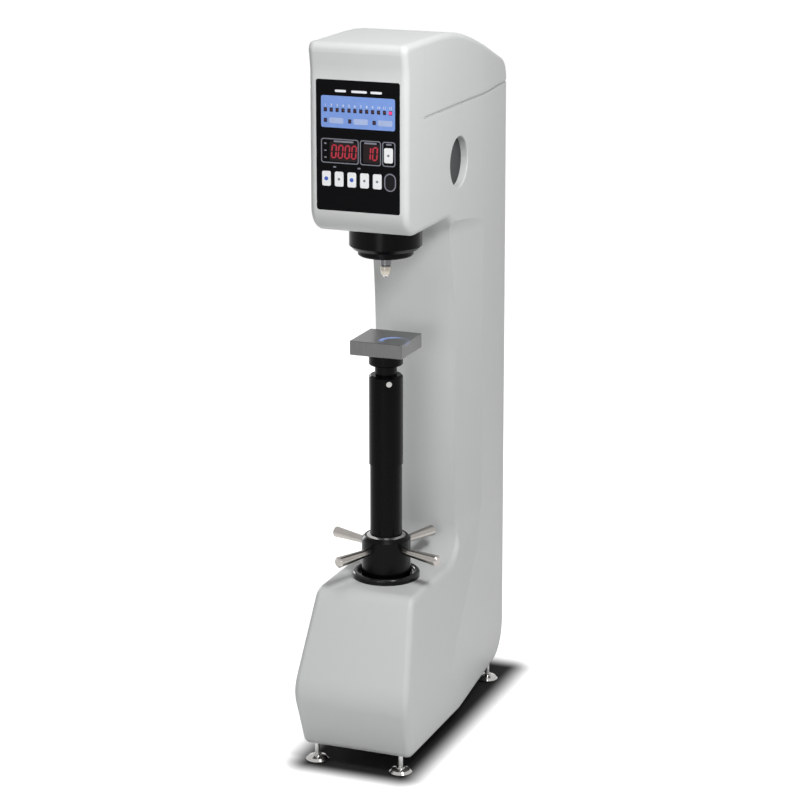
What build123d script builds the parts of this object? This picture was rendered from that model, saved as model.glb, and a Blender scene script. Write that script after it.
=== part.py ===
from build123d import *
import math
import os

# A bench Brinell hardness tester: a tall cast C-frame with an overhanging head, a motor-driven
# load train above a ball indenter, and a square anvil on an elevating screw turned by a capstan.
# Millimetres, +Z up, the operator stands on the -Y side.  While it is built, Y = 0 is the test
# axis; the finished pieces are moved so that the origin is the bottom centre of the whole machine.

# ---------------------------------------------------------------- frame casting
BODY_BOTTOM = 28.0          # underside of the casting above the floor
BASE_HEIGHT = 255.0
THROAT_HEIGHT = 575.0       # from the base's top to the head's underside
HEAD_HEIGHT = 292.0
HEAD_WIDTH = 160.0
HEAD_REACH = 112.0          # head front ahead of the test axis
THROAT = 128.0              # column front behind the test axis
COLUMN_DEPTH = 265.0        # from the column front to the back, at the floor
WALL = 12.0
EDGE_RADIUS = 10.0
OVERCUT = 1.0               # cutters run this far past the faces they cut
BROW_OVERHANG = 5.0         # top front edge ahead of the panel face
BROW_LIP = 15.0             # height of the brow's front face
BROW_DROP = 42.0            # foot of the cove under the brow
BROW_RADIUS = 11.0
BROW_COVE = 90.0
CHIN_RADIUS = 40.0
HEAD_ROOT_RADIUS = 50.0     # between the head's underside and the column
TOP_FLAT = 107.0            # the flat top ends here, behind the axis
TOP_SWEEP = 580.0
BACK_TOP_DROP = 84.0        # back edge of the top below its front
BACK_LEAN = 15.0
BACK_TOP_RADIUS = 40.0
HEEL_RADIUS = 60.0
THROAT_LEAN = 32.0          # how far the column front comes forward under the head
THROAT_LEAN_HEIGHT = 140.0
THROAT_SWEEP = 850.0
THROAT_FOOT_RADIUS = 52.0
RELIEF_DEPTH = 11.5         # column front narrower than the head on each side
RELIEF_CORNER = 40.0        # cove where the column's sides meet the head
RELIEF_FOOT_RISE = 62.0
RELIEF_FOOT_RADIUS = 80.0
FLANK_SETBACK = 101.0       # column keeps its full width this far behind its front
FLANK_SLOPE = 0.0958        # inward run of the rear flanks per unit of depth
BASE_TOP_FRONT = 93.0       # ahead of the test axis
BASE_NOSE = 65.0            # widest line of the base ahead of its top edge
BASE_TUCK = 30.0            # front of the underside behind that line
BASE_CREASE_RISE = 99.0
BASE_FLARE = 18.5           # base wider than the head on each side
BASE_TOP_FLARE = 2.0
BASE_SIDE_TUCK = 6.5
BASE_FLARE_RISE = 147.0     # above this height over the base the sides are flat
BASE_SHOULDER_RADIUS = 24.0
BASE_NOSE_RADIUS = 70.0
BASE_TOE_RADIUS = 16.0
BASE_SIDE_LOW_SWEEP = 250.0
BASE_SIDE_HIGH_SWEEP = 300.0

# ---------------------------------------------------------------- top and rear cover
SEAM_DROP = 119.0           # cover's lower joint below the top
COVER_FRONT = 43.0          # cover's front joint ahead of the axis
COVER_WALL = 5.0
COVER_JOINT = 0.2
GROOVE_HEIGHT = 3.8
GROOVE_DEPTH = 3.0
COVER_SCREW_X = 38.0
COVER_SCREW_RISE = 14.0
COVER_LUG = 22.0

# ---------------------------------------------------------------- side ports
PORT_RADIUS = 40.0
PORT_DEPTH = 12.0
PORT_LIP = 2.0              # rounding of the port's rim
PORT_BEHIND_AXIS = 111.0
PORT_RISE = 83.0            # above the head's underside
PORT_RIM = 9.0
PLUG_THICKNESS = 4.0

# ---------------------------------------------------------------- front panel and keys
PANEL_MARGIN = 12.3         # head face left bare beside the panel
PANEL_RISE = 37.5
PANEL_DROP = 56.0           # head face left bare above the panel
PANEL_CORNER = 4.0
PANEL_THICKNESS = 2.0
PANEL_RECESS = 1.0          # panel face behind the head face
PANEL_LAND = 8.0            # ledge the panel is bonded to
BOARD_THICKNESS = 1.6
BOARD_GAP = 6.0             # behind the panel
KEY_WIDTH = 14.0
KEY_HEIGHT = 22.5
KEY_CORNER = 2.6
KEY_DEPTH = 3.6
KEY_PROUD = 0.8
KEY_GAP = 0.3
KEY_MARGIN = 9.2            # panel edge to the outer keys
KEY_ROW_RISE = 48.5         # centre of the key row above the panel's lower edge
KEY_COUNT = 6
START_KEY_INSET = 18.7      # centre of the start key in from the panel's right edge
START_KEY_RISE = 89.0
READOUT_RISE = 90.5
READOUT_TALL = 29.0
MODULE_INSET = 1.0          # display module inside its window
READOUT_GAP = 10.5          # between the two readouts
READOUT_KEY_GAP = 7.5       # from the narrow readout to the start key
READOUT_INSET = 21.7        # left readout in from the panel's left edge
WIDE_READOUT = 44.0
SWITCH_SIZE = 6.0
SWITCH_CLEARANCE = 0.9      # key travel and a little more
LED_RADIUS = 1.7
LED_INSET = 15.3            # outer lamps in from the panel's edges
LED_COUNT = 12
STATUS_RISE = 32.0          # three status lamps above the readouts
STATUS_PITCH = 39.3
LED_ROW_RISE = 16.0         # twelve lamps above the status lamps
STATUS_COUNT = 3
LED_PROUD = 0.5

# ---------------------------------------------------------------- indenter and load train
SHROUD_RADIUS = 57.0
SHROUD_DROP = 33.0          # below the head's underside
SHROUD_NOSE_RADIUS = 43.5
NOSE_CHAMFER = 2.0
SHROUD_NOSE_DROP = 16.5     # nose ring below the wide ring
SHROUD_CHAMFER = 6.0
SHROUD_WALL = 6.0
SPINDLE_RADIUS = 14.0
SPINDLE_DROP = 46.0
BUSH_WALL = 8.0
FLOOR_PAD_HEIGHT = 42.0
FLOOR_PAD_DEPTH = 50.0
LOAD_STROKE = 12.0
STROKE_MARGIN = 4.0
LOAD_CELL_RADIUS = 26.0
CELL_CHAMFER = 2.0
LOAD_CELL_HEIGHT = 45.0
CROSSHEAD_HEIGHT = 30.0
CROSSHEAD_SIDE_GAP = 7.0    # to the casting's walls
CROSSHEAD_DEPTH = 46.0
POST_INSET = 15.0           # from the crosshead's ends
POST_RADIUS = 9.0
BRIDGE_DROP = 60.0          # bridge plate's upper face below the top
BRIDGE_THICKNESS = 14.0
BRIDGE_SIDE_GAP = 3.0
BRIDGE_FRONT = 30.0
BRIDGE_BACK = 44.0          # plate runs this far behind the motor's shaft
RIB_WIDTH = 9.0
RIB_DROP = 96.0
RIB_LENGTH = 90.0
BALL_SCREW_RADIUS = 10.0
BALL_NUT_WALL = 6.0
BALL_NUT_FLANGE = 7.0
BALL_NUT_RISE = 10.0
BEARING_WALL = 12.0
PULLEY_RADIUS = 30.0
MOTOR_PULLEY_RADIUS = 11.0
PULLEY_FLANGE = 1.5
PULLEY_BOTTOM_GAP = 4.0
BELT_WIDTH = 12.0
BELT_THICKNESS = 2.0
MOTOR_BEHIND_AXIS = 118.0
MOTOR_SIZE = 57.0
MOTOR_LENGTH = 84.0
MOTOR_SHAFT_RADIUS = 4.0
HOLDER_RADIUS = 8.4
HOLDER_CHAMFER = 1.0
HOLDER_SHANK = 7.0
HOLDER_LENGTH = 20.0
HOLDER_INSERT = 26.0
HOLDER_GROOVE = 2.0
BALL_RADIUS = 5.0
BALL_CAP_LENGTH = 13.0
BALL_CAP_WALL = 1.2         # left around the ball at the cap's nose
BALL_SHOWING = 5.0

# ---------------------------------------------------------------- elevating screw, tubes, capstan
ANVIL_SIZE = 87.0
ANVIL_THICKNESS = 23.0
ANVIL_RISE = 394.0          # anvil top above the base's top, as stored
ANVIL_EDGE = 1.0
SEAT_FLANGE_RADIUS = 27.0
SEAT_FLANGE_HEIGHT = 21.0
SEAT_NECK_RADIUS = 17.5
SEAT_NECK_HEIGHT = 16.0
SPIGOT_RADIUS = 10.0
SPIGOT_LENGTH = 14.0
SCREW_RADIUS = 19.0
SCREW_TENON_RADIUS = 12.0
SCREW_TENON_LENGTH = 22.0
SCREW_TAIL = 105.0          # screw's lower end below the base's top, as stored
KEYWAY_WIDTH = 7.0
KEYWAY_DEPTH = 4.0
TUBE_WALL = 1.2
TUBE_GAP = 0.3
TUBE_BORE_GAP = 3.8         # between the screw and the inner tube
OUTER_TUBE_LENGTH = 146.0
TUBE_CAP_HEIGHT = 24.0
TUBE_CAP_CHAMFER = 3.0
MIDDLE_TUBE_LENGTH = 180.0
MIDDLE_TUBE_SINK = 2.0      # into the hub, as stored
INNER_TUBE_LENGTH = 184.0
SET_SCREW_RADIUS = 2.5
SET_SCREW_DROP = 9.5
SET_SCREW_AZIMUTH = 31.0    # turned from the front towards +X
SET_SCREW_HEAD = 4.5
SET_SCREW_PROUD = 4.0
SET_SCREW_SINK = 1.0
HUB_RADIUS = 39.3
HUB_HEIGHT = 69.0           # hub's upper face above the base's top
HUB_CHAMFER = 5.0
HUB_RECESS_DEPTH = 62.0
HUB_TAIL_RADIUS = 30.0
HUB_TAIL_DEPTH = 51.0       # below the base's top
WIPER_WIDTH = 5.2
WIPER_DEPTH = 6.0
WIPER_PROUD = 2.0
BAR_ROOT_RADIUS = 5.6
BAR_TIP_RADIUS = 8.8
BAR_CLEARANCE = 16.0        # from the bars' tips to the column
BAR_SOCKET = 11.0
BAR_DROP = 20.0             # bars below the hub's upper face
BAR_CHAMFER = 2.5
BAR_COUNT = 4
BAR_FIRST_ANGLE = -21.0
DUST_RING_HEIGHT = 10.0
DUST_RING_LIP = 9.0
DUST_RING_GAP = 5.7         # open trough between the hub and the lip
DUST_RING_FLOOR = 2.0
THRUST_BEARING_HEIGHT = 12.0
THRUST_BEARING_WALL = 14.0
BASE_BOSS_WALL = 12.0
BASE_BOSS_DEPTH = 118.0
KEY_BUSH_WALL = 11.0
KEY_BUSH_GAP = 12.0         # under the nut

# ---------------------------------------------------------------- base, feet, rear connectors
BOTTOM_OPENING_WIDTH = 104.0
BOTTOM_OPENING_FRONT = 36.0     # behind the underside's front edge
BOTTOM_OPENING_BACK = 131.0     # ahead of the back
BOTTOM_PLATE_THICKNESS = 2.0
BOTTOM_PLATE_LAP = 12.0
PLATE_SCREW_RADIUS = 2.0
PLATE_SCREW_HEAD = 4.0
PLATE_SCREW_HEAD_HEIGHT = 2.0
PLATE_SCREW_MARGIN = 2.0    # metal left over the screw tips
PLATE_SCREW_ROWS = 3
FOOT_FRONT_INSET = 20.5     # from the underside's side edges
FOOT_FRONT_SETBACK = 9.0
FOOT_REAR_INSET = 16.0      # from the head's width
FOOT_REAR_SETBACK = 83.0
FOOT_RADIUS = 18.5
FOOT_EDGE = 3.0
FOOT_DOME = 9.0
FOOT_NECK = 7.0
FOOT_NECK_RISE = 2.0
FOOT_CHAMFER = 1.0
STUD_RADIUS = 4.0
STUD_LENGTH = 52.0
FOOT_BOSS_RADIUS = 17.0
FOOT_BOSS_HEIGHT = 50.0
SUPPLY_SIZE = (96.0, 150.0, 44.0)
SUPPLY_FRONT_GAP = 36.0     # behind the screw's boss
INLET_RISE = 122.0          # above the underside
INLET_X = 18.0
INLET_SIZE = (30.0, 27.0)
INLET_DEPTH = 24.0
INLET_RIM = (3.0, 5.5)      # around the socket
INLET_CORNER = 2.0
INLET_SOCKET_DEPTH = 18.0
PIN_SPACING = 7.0
PIN_SIZE = (2.0, 4.0)
SWITCH_X = -20.0
ROCKER_SIZE = (14.0, 21.0)
ROCKER_THICKNESS = 5.0
ROCKER_FRAME = 4.0
ROCKER_TILT = 7.0
ROCKER_PIN = 1.1
ROCKER_PIN_LENGTH = 2.0
CONNECTOR_RECESS = 5.0

# ---------------------------------------------------------------- clearances
FIT = 0.05                  # radial, a shaft that turns or slides in its bush
RUNNING = 0.3               # between faces of pieces that move past each other
STEP_CLEARANCE = 1.0        # open space where nothing guides

# ---------------------------------------------------------------- heights and reaches that follow
BASE_TOP = BODY_BOTTOM + BASE_HEIGHT
HEAD_FLOOR = BASE_TOP + THROAT_HEIGHT
OVERALL_HEIGHT = HEAD_FLOOR + HEAD_HEIGHT
HEAD_HALF = HEAD_WIDTH / 2
HEAD_FRONT = -HEAD_REACH
FAR = 2 * OVERALL_HEIGHT    # longer than anything it cuts
BACK_BOTTOM_REACH = THROAT + COLUMN_DEPTH
BACK_TOP_REACH = BACK_BOTTOM_REACH - BACK_LEAN
BACK_TOP_HEIGHT = OVERALL_HEIGHT - BACK_TOP_DROP
FLANK_START = THROAT + FLANK_SETBACK
BASE_CREASE_REACH = BASE_TOP_FRONT + BASE_NOSE
BASE_BOTTOM_REACH = BASE_CREASE_REACH - BASE_TUCK
BASE_CREASE_HEIGHT = BODY_BOTTOM + BASE_CREASE_RISE
BASE_CREASE_HALF = HEAD_HALF + BASE_FLARE
BASE_TOP_HALF = HEAD_HALF + BASE_TOP_FLARE
BASE_BOTTOM_HALF = BASE_CREASE_HALF - BASE_SIDE_TUCK
COLUMN_FRONT_HALF = HEAD_HALF - RELIEF_DEPTH
SEAM_HEIGHT = OVERALL_HEIGHT - SEAM_DROP
PORT_HEIGHT = HEAD_FLOOR + PORT_RISE
PORT_FLOOR_X = HEAD_HALF - PORT_DEPTH
PANEL_WIDTH = HEAD_WIDTH - 2 * PANEL_MARGIN
PANEL_BOTTOM = HEAD_FLOOR + PANEL_RISE
PANEL_TOP = OVERALL_HEIGHT - PANEL_DROP
PANEL_HEIGHT = PANEL_TOP - PANEL_BOTTOM
PANEL_MID = (PANEL_BOTTOM + PANEL_TOP) / 2
PANEL_FRONT = HEAD_FRONT + PANEL_RECESS
PANEL_BACK = PANEL_FRONT + PANEL_THICKNESS
BOARD_FRONT = PANEL_BACK + BOARD_GAP
FLOOR_PAD_TOP = HEAD_FLOOR + FLOOR_PAD_HEIGHT
SHROUD_BOTTOM = HEAD_FLOOR - SHROUD_DROP
SHROUD_NOSE_BOTTOM = SHROUD_BOTTOM - SHROUD_NOSE_DROP
SPINDLE_BOTTOM = HEAD_FLOOR - SPINDLE_DROP
SPINDLE_TOP = FLOOR_PAD_TOP + LOAD_STROKE + STROKE_MARGIN
LOAD_CELL_TOP = SPINDLE_TOP + LOAD_CELL_HEIGHT
CROSSHEAD_HALF = HEAD_HALF - WALL - CROSSHEAD_SIDE_GAP
CROSSHEAD_TOP = LOAD_CELL_TOP + CROSSHEAD_HEIGHT
POST_X = CROSSHEAD_HALF - POST_INSET
BRIDGE_HALF = HEAD_HALF - WALL - BRIDGE_SIDE_GAP
BRIDGE_TOP = OVERALL_HEIGHT - BRIDGE_DROP
BRIDGE_BOTTOM = BRIDGE_TOP - BRIDGE_THICKNESS
BRIDGE_REAR = MOTOR_BEHIND_AXIS + BRIDGE_BACK
BALL_NUT_RADIUS = BALL_SCREW_RADIUS + BALL_NUT_WALL
BEARING_RADIUS = BALL_SCREW_RADIUS + BEARING_WALL
MOTOR_HOLE_RADIUS = MOTOR_PULLEY_RADIUS + 2 * BELT_THICKNESS
INNER_TUBE_RADIUS = SCREW_RADIUS + TUBE_BORE_GAP + TUBE_WALL
MIDDLE_TUBE_RADIUS = INNER_TUBE_RADIUS + TUBE_GAP + TUBE_WALL
OUTER_TUBE_RADIUS = MIDDLE_TUBE_RADIUS + TUBE_GAP + TUBE_WALL
HUB_TOP = BASE_TOP + HUB_HEIGHT
HUB_BOTTOM = BASE_TOP + RUNNING
HUB_RECESS_FLOOR = HUB_TOP - HUB_RECESS_DEPTH
HUB_TAIL_BOTTOM = BASE_TOP - HUB_TAIL_DEPTH
WIPER_RADIUS = MIDDLE_TUBE_RADIUS + TUBE_GAP + WIPER_WIDTH
BAR_HEIGHT = HUB_TOP - BAR_DROP
BAR_REACH = THROAT - BAR_CLEARANCE
BEARING_BOTTOM = BASE_TOP - THRUST_BEARING_HEIGHT
THRUST_BEARING_RADIUS = HUB_TAIL_RADIUS + THRUST_BEARING_WALL
DUST_RING_RADIUS = HUB_RADIUS + DUST_RING_GAP + DUST_RING_LIP
KEY_BUSH_RADIUS = SCREW_RADIUS + KEY_BUSH_WALL
BASE_BOSS_RADIUS = THRUST_BEARING_RADIUS + BASE_BOSS_WALL
BASE_BOSS_BOTTOM = BASE_TOP - BASE_BOSS_DEPTH
SCREW_BOTTOM = BASE_TOP - SCREW_TAIL
ANVIL_TOP = BASE_TOP + ANVIL_RISE
ANVIL_BOTTOM = ANVIL_TOP - ANVIL_THICKNESS
SEAT_NECK_TOP = ANVIL_BOTTOM - SEAT_FLANGE_HEIGHT
SEAT_BOTTOM = SEAT_NECK_TOP - SEAT_NECK_HEIGHT
CAP_BOTTOM = SEAT_BOTTOM - TUBE_CAP_HEIGHT
SCREW_SHOULDER = SEAT_BOTTOM - TUBE_CAP_CHAMFER
SCREW_TOP = SCREW_SHOULDER + SCREW_TENON_LENGTH
OUTER_TUBE_BOTTOM = SEAT_BOTTOM - OUTER_TUBE_LENGTH
MIDDLE_TUBE_BOTTOM = HUB_TOP - MIDDLE_TUBE_SINK
INLET_HEIGHT = BODY_BOTTOM + INLET_RISE
OPENING_FRONT = BOTTOM_OPENING_FRONT - BASE_BOTTOM_REACH
OPENING_BACK = BACK_BOTTOM_REACH - BOTTOM_OPENING_BACK
SUPPLY_START = BASE_BOSS_RADIUS + SUPPLY_FRONT_GAP
FOOT_PLACES = {
    "front_left": (FOOT_FRONT_INSET - BASE_BOTTOM_HALF, FOOT_FRONT_SETBACK - BASE_BOTTOM_REACH),
    "front_right": (BASE_BOTTOM_HALF - FOOT_FRONT_INSET, FOOT_FRONT_SETBACK - BASE_BOTTOM_REACH),
    "rear_left": (FOOT_REAR_INSET - HEAD_HALF, BACK_BOTTOM_REACH - FOOT_REAR_SETBACK),
    "rear_right": (HEAD_HALF - FOOT_REAR_INSET, BACK_BOTTOM_REACH - FOOT_REAR_SETBACK),
}


# ---------------------------------------------------------------- small helpers
def cylinder(radius, bottom, top, x=0.0, y=0.0):
    """Upright round bar between two heights."""
    return Pos(x, y, bottom) * extrude(Circle(radius), amount=top - bottom)


def tube(outer, inner, bottom, top, x=0.0, y=0.0):
    """Upright ring between two heights."""
    return Pos(x, y, bottom) * extrude(Circle(outer) - Circle(inner), amount=top - bottom)


def block(x_range, y_range, z_range):
    """Box from its low and high corners."""
    low = (x_range[0], y_range[0], z_range[0])
    size = (x_range[1] - low[0], y_range[1] - low[1], z_range[1] - low[2])
    return Pos(*low) * Box(*size, align=(Align.MIN, Align.MIN, Align.MIN))


def turned(points):
    """Solid of revolution about the test axis from (radius, height) points."""
    outline = make_face(Polyline(*[(r, 0, z) for r, z in points], close=True))
    return revolve(outline, Axis.Z, 360)


def rounded_face(plane, corners):
    """Closed outline on a plane from (u, v, radius) corners."""
    points = [plane.from_local_coords((u, v, 0)) for u, v, _ in corners]
    face = make_face(Polyline(*points, close=True))
    for point, (_, _, radius) in zip(points, corners):
        if radius > 0:
            face = fillet(face.vertices().sort_by_distance(point)[0], radius)
    return face


def both_sides(solid):
    """A piece and its mirror image across the centre plane."""
    return [solid, mirror(solid, about=Plane.YZ)]


def front_plate(width, height, corner, x, z, front, depth):
    """Rounded upright plate whose front face is at Y = front."""
    plane = Plane(origin=(x, front, z), x_dir=(1, 0, 0), z_dir=(0, 1, 0))
    return extrude(plane * RectangleRounded(width, height, corner), amount=depth)


def front_disc(radius, x, z, front, depth):
    """Round plate whose front face is at Y = front."""
    plane = Plane(origin=(x, front, z), x_dir=(1, 0, 0), z_dir=(0, 1, 0))
    return extrude(plane * Circle(radius), amount=depth)


# ---------------------------------------------------------------- outlines of the casting
def side_outline():
    """C-shaped outline seen from the side, as (depth, height, corner radius)."""
    brow = HEAD_FRONT - BROW_OVERHANG
    corners = [
        (-BASE_BOTTOM_REACH, BODY_BOTTOM, BASE_TOE_RADIUS),
        (BACK_BOTTOM_REACH, BODY_BOTTOM, HEEL_RADIUS),
        (BACK_TOP_REACH, BACK_TOP_HEIGHT, BACK_TOP_RADIUS),
        (TOP_FLAT, OVERALL_HEIGHT, TOP_SWEEP),
        (brow, OVERALL_HEIGHT, BROW_RADIUS),
        (brow, OVERALL_HEIGHT - BROW_LIP, 0),
        (HEAD_FRONT, OVERALL_HEIGHT - BROW_DROP, BROW_COVE),
        (HEAD_FRONT, HEAD_FLOOR, CHIN_RADIUS),
        (THROAT - THROAT_LEAN, HEAD_FLOOR, HEAD_ROOT_RADIUS),
        (THROAT, HEAD_FLOOR - THROAT_LEAN_HEIGHT, THROAT_SWEEP),
        (THROAT, BASE_TOP, THROAT_FOOT_RADIUS),
        (-BASE_TOP_FRONT, BASE_TOP, BASE_SHOULDER_RADIUS),
        (-BASE_CREASE_REACH, BASE_CREASE_HEIGHT, BASE_NOSE_RADIUS),
    ]
    return rounded_face(Plane.YZ, corners)


def front_outline():
    """Outline seen from the front: a flared base under straight sides."""
    right = [
        (BASE_BOTTOM_HALF, BODY_BOTTOM, 0),
        (BASE_CREASE_HALF, BASE_CREASE_HEIGHT, BASE_SIDE_LOW_SWEEP),
        (BASE_TOP_HALF, BASE_TOP, BASE_SIDE_HIGH_SWEEP),
        (HEAD_HALF, BASE_TOP + BASE_FLARE_RISE, 0),
        (HEAD_HALF, OVERALL_HEIGHT, 0),
    ]
    left = [(-x, z, radius) for x, z, radius in reversed(right)]
    return rounded_face(Plane.XZ, right + left)


def flank_prism(inset=0.0):
    """Space between the tapering rear flanks, drawn in from them by inset."""
    def half_width(y):
        return HEAD_HALF - FLANK_SLOPE * (y - FLANK_START) - inset

    near = -FLANK_START
    far = BACK_BOTTOM_REACH + THROAT
    corners = [(half_width(near), near), (half_width(far), far)]
    corners += [(-x, y) for x, y in reversed(corners)]
    return extrude(make_face(Polyline(*corners, close=True)), amount=FAR)


def column_relief():
    """Wedge that narrows the column towards the throat and flares out into the base."""
    slope = RELIEF_DEPTH / FLANK_SETBACK
    start = -HEAD_REACH / 2
    plane = Plane(origin=(0, start, 0), x_dir=(1, 0, 0), z_dir=(0, -1, 0))
    front_x = COLUMN_FRONT_HALF - slope * (THROAT - start)
    flare_x = front_x + BASE_FLARE
    corners = [
        (front_x, HEAD_FLOOR, RELIEF_CORNER),
        (front_x, BASE_TOP + RELIEF_FOOT_RISE, RELIEF_FOOT_RADIUS),
        (flare_x, BASE_TOP, 0),
        (2 * BASE_CREASE_HALF, BASE_TOP, 0),
        (2 * BASE_CREASE_HALF, HEAD_FLOOR, 0),
    ]
    direction = Vector(slope, 1, 0)
    length = (FLANK_START + WALL - start) * direction.length
    return extrude(rounded_face(plane, corners), amount=length, dir=direction.normalized())


def side_rim(solid):
    """Edges that border the side faces on one side only."""
    seen = []
    for face in solid.faces():
        if abs(face.normal_at(face.center()).X) < 0.9:
            continue
        for edge in face.edges():
            shared = [entry for entry in seen if entry[0].is_same(edge)]
            if shared:
                shared[0][1] += 1
            else:
                seen.append([edge, 1])
    return [edge for edge, count in seen if count == 1]


def outer_form():
    """Outside of the frame with its cover on."""
    blank = extrude(side_outline(), amount=2 * BASE_CREASE_HALF, both=True)
    form = blank & extrude(front_outline(), amount=FAR, both=True)
    form &= flank_prism()
    form = fillet(side_rim(form), EDGE_RADIUS)
    return form - both_sides(column_relief())


def inner_form(wall, half_width, z_range):
    """Space inside the frame, a wall in from its outline, between two heights."""
    outline = offset(side_outline(), amount=-wall)
    space = extrude(outline, amount=half_width, both=True) & flank_prism(wall)
    return space & block((-FAR, FAR), (-FAR, FAR), z_range)


# ---------------------------------------------------------------- frame casting
OUTER = outer_form()
BOUNDS = OUTER.bounding_box()
MID_DEPTH = BOUNDS.center().Y



def back_face_at(height):
    """Depth of the sloping back face at a height."""
    run = (BACK_BOTTOM_REACH - BACK_TOP_REACH) / (BACK_TOP_HEIGHT - BODY_BOTTOM)
    return BACK_BOTTOM_REACH - run * (height - BODY_BOTTOM)


CONNECTOR_BACK = back_face_at(INLET_HEIGHT) - CONNECTOR_RECESS
COVER_REGION = block((-FAR, FAR), (-COVER_FRONT, FAR), (SEAM_HEIGHT, FAR))


def port(radius, x_from, x_to):
    """Round solid across the right side wall at the port."""
    plane = Plane(origin=(x_from, PORT_BEHIND_AXIS, PORT_HEIGHT), x_dir=(0, 1, 0), z_dir=(1, 0, 0))
    return extrude(plane * Circle(radius), amount=x_to - x_from)


def port_rims(solid):
    """Outer round edges of the two side ports."""
    circles = solid.edges().filter_by(GeomType.CIRCLE)
    return [edge for edge in circles
            if abs(edge.radius - PORT_RADIUS) < FIT and abs(edge.center().X) > HEAD_HALF - 1]


def casting_hollow():
    """Room inside the casting, with bosses, pads, ribs and port rims left standing."""
    column_half = COLUMN_FRONT_HALF - WALL
    base_half = BASE_TOP_HALF - WALL
    room = inner_form(WALL, column_half, (BODY_BOTTOM, OVERALL_HEIGHT))
    room += inner_form(WALL, HEAD_HALF - WALL, (HEAD_FLOOR + WALL, OVERALL_HEIGHT))
    room += inner_form(WALL, base_half, (BODY_BOTTOM, BASE_TOP))
    pad_depth = (-FLOOR_PAD_DEPTH, FLOOR_PAD_DEPTH)
    room -= block((-HEAD_HALF, HEAD_HALF), pad_depth, (HEAD_FLOOR, FLOOR_PAD_TOP))
    room -= cylinder(BASE_BOSS_RADIUS, BASE_BOSS_BOTTOM, BASE_TOP)
    room -= both_sides(port(PORT_RADIUS + PORT_RIM, PORT_FLOOR_X - PLUG_THICKNESS, HEAD_HALF))
    for x, y in FOOT_PLACES.values():
        room -= cylinder(FOOT_BOSS_RADIUS, BODY_BOTTOM, BODY_BOTTOM + FOOT_BOSS_HEIGHT, x, y)
    return room


def bridge_ribs():
    """Ribs on the side walls that carry the rear of the bridge plate."""
    rib_x = (HEAD_HALF - WALL - RIB_WIDTH, HEAD_HALF - WALL / 2)
    rib_y = (BRIDGE_REAR - RIB_LENGTH, BRIDGE_REAR)
    return both_sides(block(rib_x, rib_y, (BRIDGE_BOTTOM - RIB_DROP, BRIDGE_BOTTOM)))


def cover_lugs():
    """Upstands behind the rear wall of the cover that take its screws."""
    height = SEAM_HEIGHT + COVER_SCREW_RISE
    front = back_face_at(height) - COVER_WALL - WALL
    half = COVER_LUG / 2
    room = inner_form(COVER_WALL + FIT, HEAD_HALF - COVER_WALL, (SEAM_HEIGHT - COVER_LUG, height + half))
    upstand = block((COVER_SCREW_X - half, COVER_SCREW_X + half), (front, FAR), (0, OVERALL_HEIGHT))
    return both_sides(room & upstand)


def cover_screw(radius_extra=0.0):
    """One countersunk screw that holds the cover's rear wall, pointing forwards."""
    height = SEAM_HEIGHT + COVER_SCREW_RISE
    face = back_face_at(height)
    plane = Plane(origin=(COVER_SCREW_X, face, height), x_dir=(1, 0, 0), z_dir=(0, -1, 0))
    head = extrude(plane * Circle(PLATE_SCREW_HEAD + radius_extra), amount=PLATE_SCREW_HEAD / 2)
    shank = extrude(plane * Circle(PLATE_SCREW_RADIUS + radius_extra), amount=COVER_WALL + WALL / 2)
    return head + shank


def frame_casting():
    casting = OUTER - COVER_REGION
    casting -= casting_hollow()
    casting += cover_lugs()
    casting += bridge_ribs()
    casting -= both_sides(cover_screw(FIT))
    casting -= both_sides(port(PORT_RADIUS, PORT_FLOOR_X - PLUG_THICKNESS, FAR))
    casting = fillet(port_rims(casting), PORT_LIP)
    # panel seat and the window behind it
    seat = front_plate(PANEL_WIDTH + FIT, PANEL_HEIGHT + FIT, PANEL_CORNER, 0, PANEL_MID,
                       -FAR, FAR + PANEL_BACK)
    window = front_plate(PANEL_WIDTH - 2 * PANEL_LAND, PANEL_HEIGHT - 2 * PANEL_LAND,
                         PANEL_CORNER, 0, PANEL_MID, -FAR, FAR + HEAD_FRONT + 2 * WALL)
    casting -= [seat, window]
    # turned seat for the shroud and bore through the head floor for the spindle bush
    casting -= cylinder(SHROUD_RADIUS + FIT, SHROUD_BOTTOM, HEAD_FLOOR)
    casting -= cylinder(SPINDLE_RADIUS + BUSH_WALL, HEAD_FLOOR - WALL, FLOOR_PAD_TOP + WALL)
    # stepped bore through the base top for the capstan nut
    casting -= cylinder(THRUST_BEARING_RADIUS, BEARING_BOTTOM, BASE_TOP + WALL)
    casting -= cylinder(HUB_TAIL_RADIUS + STEP_CLEARANCE, HUB_TAIL_BOTTOM - STEP_CLEARANCE, BASE_TOP)
    casting -= cylinder(KEY_BUSH_RADIUS, BASE_BOSS_BOTTOM - WALL, BASE_TOP)
    # service opening in the underside, and tapped holes for the feet
    half = BOTTOM_OPENING_WIDTH / 2
    casting -= block((-half, half), (OPENING_FRONT, OPENING_BACK),
                     (0, BODY_BOTTOM + 2 * WALL))
    for x, y in FOOT_PLACES.values():
        casting -= cylinder(STUD_RADIUS + FIT, 0, BODY_BOTTOM + FOOT_BOSS_HEIGHT + WALL, x, y)
    for screw in plate_screws(FIT):
        casting -= screw
    # rear recess for the power inlet and its switch
    for x, size in ((INLET_X, INLET_SIZE), (SWITCH_X, switch_frame_size())):
        hole = block((x - size[0] / 2, x + size[0] / 2), (CONNECTOR_BACK - 3 * WALL, FAR),
                     (INLET_HEIGHT - size[1] / 2, INLET_HEIGHT + size[1] / 2))
        casting -= hole
    return casting


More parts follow.
